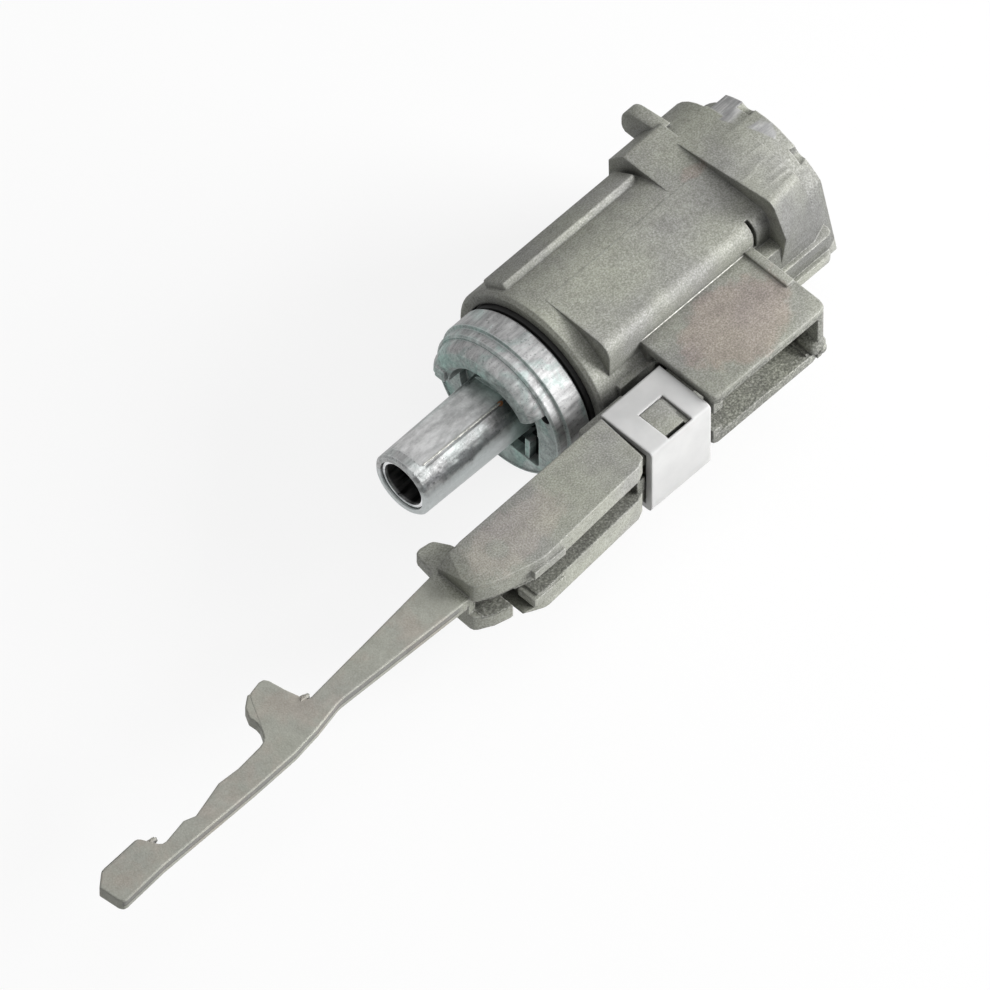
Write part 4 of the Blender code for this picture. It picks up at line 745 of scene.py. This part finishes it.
# painted shade: where the side light's highlight falls, the colour is darkened in mottles to tone the
# highlight down
dimmed_highlight_zone = shaft_look.times(
    shaft_look.fade(round_shaft, 36.0, 44.0), shaft_look.fade(round_shaft, 64.0, 58.0)
)
highlight_mottle = shaft_look.noise(420.0, 4.0, 0.65, (0.4, 1.0, 1.0))
shaft_look.tint(dimmed_highlight_zone, shaft_look.ramp(highlight_mottle, (0.38, 0.42), (0.62, 0.85)))
shaft_look.roughness = shaft_look.maths("ADD", shaft_look.roughness, shaft_look.times(flat, 0.14))
shaft_look.tint(shaft_look.along("X", 55.0, 51.0), ROOT_BLOOM)
rust = shaft_look.patch((52.6, 2.3, 4.5), (0.45, 0.4, 0.5), 0.6, 2200.0)
shaft_look.cover(shaft_look.times(rust, 0.8), RUST)
# painted shade in the corners round the shaft
paint_corner_shade(shaft_look, 2.0 * MM, 0.2)
dress("tail_shaft", shaft_look.finish())
flat_edge = [at(52.6, 2.3, 4.54), at(FLAT_END, 1.98, 4.46)]
flash_line("shaft_flat_ridge", flat_edge, RIDGE_THICKNESS, "rotor", rubbed_zinc, seed=8, wander=0.12)

# Liner in the shaft's mouth: a thin rolled steel sleeve, pressed into the bore. Its edge is bright, and its
# inside is painted dark with streaks, as painted shade deep in the bore.
LINER_RADIUS = 3.5           # to about the middle of its wall
LINER_EDGE = 68.3            # its bright edge, from the key face
liner_look = Finish("rolled_liner_steel", 0.25, 0.9)
oil = liner_look.noise(900.0, 3.0, 0.6, (0.25, 1.0, 1.0))
liner_look.colour = liner_look.ramp(oil, (0.35, (0.78, 0.79, 0.8)), (0.65, (0.95, 0.96, 0.97)))
# painted shade: the inside of the bore is painted dark
inside = liner_look.times(
    liner_look.fade(liner_look.from_axis(), (LINER_RADIUS - 0.05) * MM, (LINER_RADIUS - 0.12) * MM),
    liner_look.along("X", LINER_EDGE, LINER_EDGE - 0.3),
)
liner_look.cover(inside, liner_look.ramp(oil, (0.4, (0.05, 0.05, 0.05)), (0.68, (0.2, 0.2, 0.2))))
liner_look.roughness = liner_look.ramp(oil, (0.3, 0.25), (0.7, 0.5))
dress("shaft_liner", liner_look.finish())

# Lever: arm, hooked blade and tongue in one zinc die casting, hinged on a steel pin in the barrel's pocket
# with a steel spring round it. Its top is smoother than its cored side, which keeps the coarse skin of the
# die and is darkened inside its slot with painted shade.
BLADE_START = 80.0           # from the key face
ARM_STAIN_TINT = (1.16, 1.09, 1.1)
SMOOTH_LIGHT = (0.38, 0.384, 0.338)
UPPER_HALF_TINT = (0.6, 0.59, 0.63)
PARTING_TINT = (0.4, 0.4, 0.4)
EJECTOR_TINT = (0.9, 0.97, 0.97)
lever_look = cast_zinc("cast_zinc_lever")
arm_stain = lever_look.times(
    lever_look.patch((69.0, 20.4, 8.6), (9.5, 4.0, 3.0), 1.4), lever_look.along("Z", 7.6, 8.2)
)
lever_look.tint(arm_stain, ARM_STAIN_TINT)
blade_stain = lever_look.times(
    lever_look.ramp(lever_look.noise(160.0, 4.0, 0.6), (0.48, 0.0), (0.62, 1.0)),
    lever_look.along("X", BLADE_START, BLADE_START + 4.0),
)
on_blade = lever_look.along("X", BLADE_START - 0.5, BLADE_START + 1.0)
smooth_skin = lever_look.ramp(lever_look.noise(480.0, 4.0, 0.6), (0.35, ZINC_MIDDLE), (0.65, SMOOTH_LIGHT))
lever_look.cover(lever_look.times(on_blade, 0.65), smooth_skin)
lever_look.tint(lever_look.times(blade_stain, 0.6), STAIN_TINT)
# The die's two halves met along the blade's side
blade_side = lever_look.times(on_blade, lever_look.facing("Y", 0.5, 0.8))
upper_half = lever_look.times(blade_side, lever_look.span("Z", 4.4, 5.25, 0.05))
lever_look.tint(upper_half, UPPER_HALF_TINT)
parting_line = lever_look.times(blade_side, lever_look.span("Z", 4.28, 4.4, 0.05))
lever_look.tint(parting_line, PARTING_TINT)
ejector_mark = lever_look.patch((72.0, 20.5, 8.6), (1.7, 1.7, 1.5), 0.3)
lever_look.tint(lever_look.times(ejector_mark, 0.7), EJECTOR_TINT)
# painted shade inside the cored slot, on top of its coarse skin
slot = lever_look.times(
    lever_look.span("X", 46.0, 77.6),
    lever_look.span("Z", 1.05, 5.35, 0.05),
    lever_look.along("Y", 19.0, 19.3),
)
skin = lever_look.noise(SLOT_GRAIN, 2.0, 0.6)
lever_look.tint(slot, lever_look.ramp(skin, (0.34, 0.4), (0.5, 0.62), (0.66, 1.0)))
# painted shade in the lever's corners
paint_corner_shade(lever_look)
lever_look.bump(skin, 0.25, 0.06 * MM)
lever_zinc = lever_look.finish()
dress("lever", lever_zinc)


def round_off(shape, radius, segments):
    """Rounds every edge of a cast block"""
    bmesh.ops.bevel(
        shape, geom=shape.edges[:], offset=radius * MM, offset_type="OFFSET", segments=segments,
        profile=0.5, affect="EDGES",
    )


def crown(name, low, high, slope, edge, body, material):
    """A low cast block with rounded edges, its top sloping down towards the lever's outer side"""
    shape = bmesh.new()
    bmesh.ops.create_cube(shape, size=1.0)
    low, high = at(*low), at(*high)
    for corner in shape.verts:
        corner.co = Vector([low[k] if corner.co[k] < 0 else high[k] for k in range(3)])
        if corner.co.z > (low.z + high.z) / 2 and corner.co.y > (low.y + high.y) / 2:
            corner.co.z -= slope * MM
    round_off(shape, edge, 3)
    for face in shape.faces:
        face.smooth = True
    made_piece(name, shape, body, material)


crown("snap_tab_crown", (39.75, 18.86, 8.0), (43.54, 23.5, 8.68), 0.35, 0.14, "side_lever", lever_zinc)
crown("snap_tab_step", (39.16, 18.86, 7.9), (39.95, 23.9, 8.5), 0.3, 0.1, "side_lever", lever_zinc)


def broken_gate(name, centre, size, body, material, seed):
    """A rough little stub where the casting was broken from its runner"""
    chance = random.Random(seed)
    shape = bmesh.new()
    bmesh.ops.create_icosphere(shape, subdivisions=3, radius=1.0)
    for corner in shape.verts:
        rough = 1.0 + chance.uniform(-0.14, 0.14)
        corner.co = at(*centre) + Vector([corner.co[k] * size[k] * MM * rough for k in range(3)])
    made_piece(name, shape, body, material)


def cast_plate(name, outline, low, high, edge, body, material):
    """A flat cast piece with rounded edges, from its outline seen from above and its two levels"""
    shape = bmesh.new()
    rings = [[shape.verts.new(at(x, y, z)) for x, y in outline] for z in (low, high)]
    shape.faces.new(reversed(rings[0]))
    shape.faces.new(rings[1])
    count = len(outline)
    for k in range(count):
        after = (k + 1) % count
        shape.faces.new((rings[0][k], rings[0][after], rings[1][after], rings[1][k]))
    bmesh.ops.recalc_face_normals(shape, faces=shape.faces)
    round_off(shape, edge, 2)
    made_piece(name, shape, body, material)


HOOK_TOE = [                 # its outline seen from above
    (108.4, 13.4), (108.9, 12.0), (110.0, 11.75), (111.6, 12.9), (112.4, 14.4),
    (112.3, 15.6), (112.5, 16.7), (113.3, 17.9), (113.6, 19.0), (111.0, 18.6),
]
TOE_LEVELS = (3.53, 5.49)    # just inside the blade's own two faces
GATE_STUBS = {               # the centre, half sizes and seed of each
    "gate_stub_hook": ((105.3, 17.3, 5.0), (1.2, 0.6, 0.6), 11),
    "gate_stub_foot": ((135.4, 18.9, 4.8), (1.1, 0.5, 0.6), 12),
    "gate_stub_nib": ((75.4, 15.4, 4.9), (0.9, 0.5, 0.5), 13),
}
cast_plate("hook_toe", HOOK_TOE, *TOE_LEVELS, 0.15, "side_lever", lever_zinc)
for name, (centre, size, seed) in GATE_STUBS.items():
    broken_gate(name, centre, size, "side_lever", lever_zinc, seed)
for name in ("lever_pin", "lever_spring"):
    dress(name, drawn_steel)

# Clip: white nylon, moulded as a U and snapped over the tab on the lever's neck, which shows through its
# window. Light goes a little way into it.
LIGHT_REACH = 0.8 * MM
NYLON_DARK = (0.54, 0.54, 0.536)
NYLON_LIGHT = (0.59, 0.59, 0.583)
nylon_look = Finish("white_nylon", 0.45, 0.0)
flow = nylon_look.noise(260.0, 3.0, 0.55)
nylon_look.colour = nylon_look.ramp(flow, (0.35, NYLON_DARK), (0.65, NYLON_LIGHT))
nylon_look.round_edges(0.5 * MM)
nylon_look.roughness = nylon_look.ramp(flow, (0.3, 0.38), (0.7, 0.52))
nylon_look.bump(nylon_look.noise(3000.0, 2.0, 0.5), 0.08, 0.02 * MM)
nylon_look.shader.inputs["Subsurface Weight"].default_value = 0.2
nylon_look.shader.inputs["Subsurface Radius"].default_value = (LIGHT_REACH, LIGHT_REACH, LIGHT_REACH)
dress("lever_clip", nylon_look.finish())
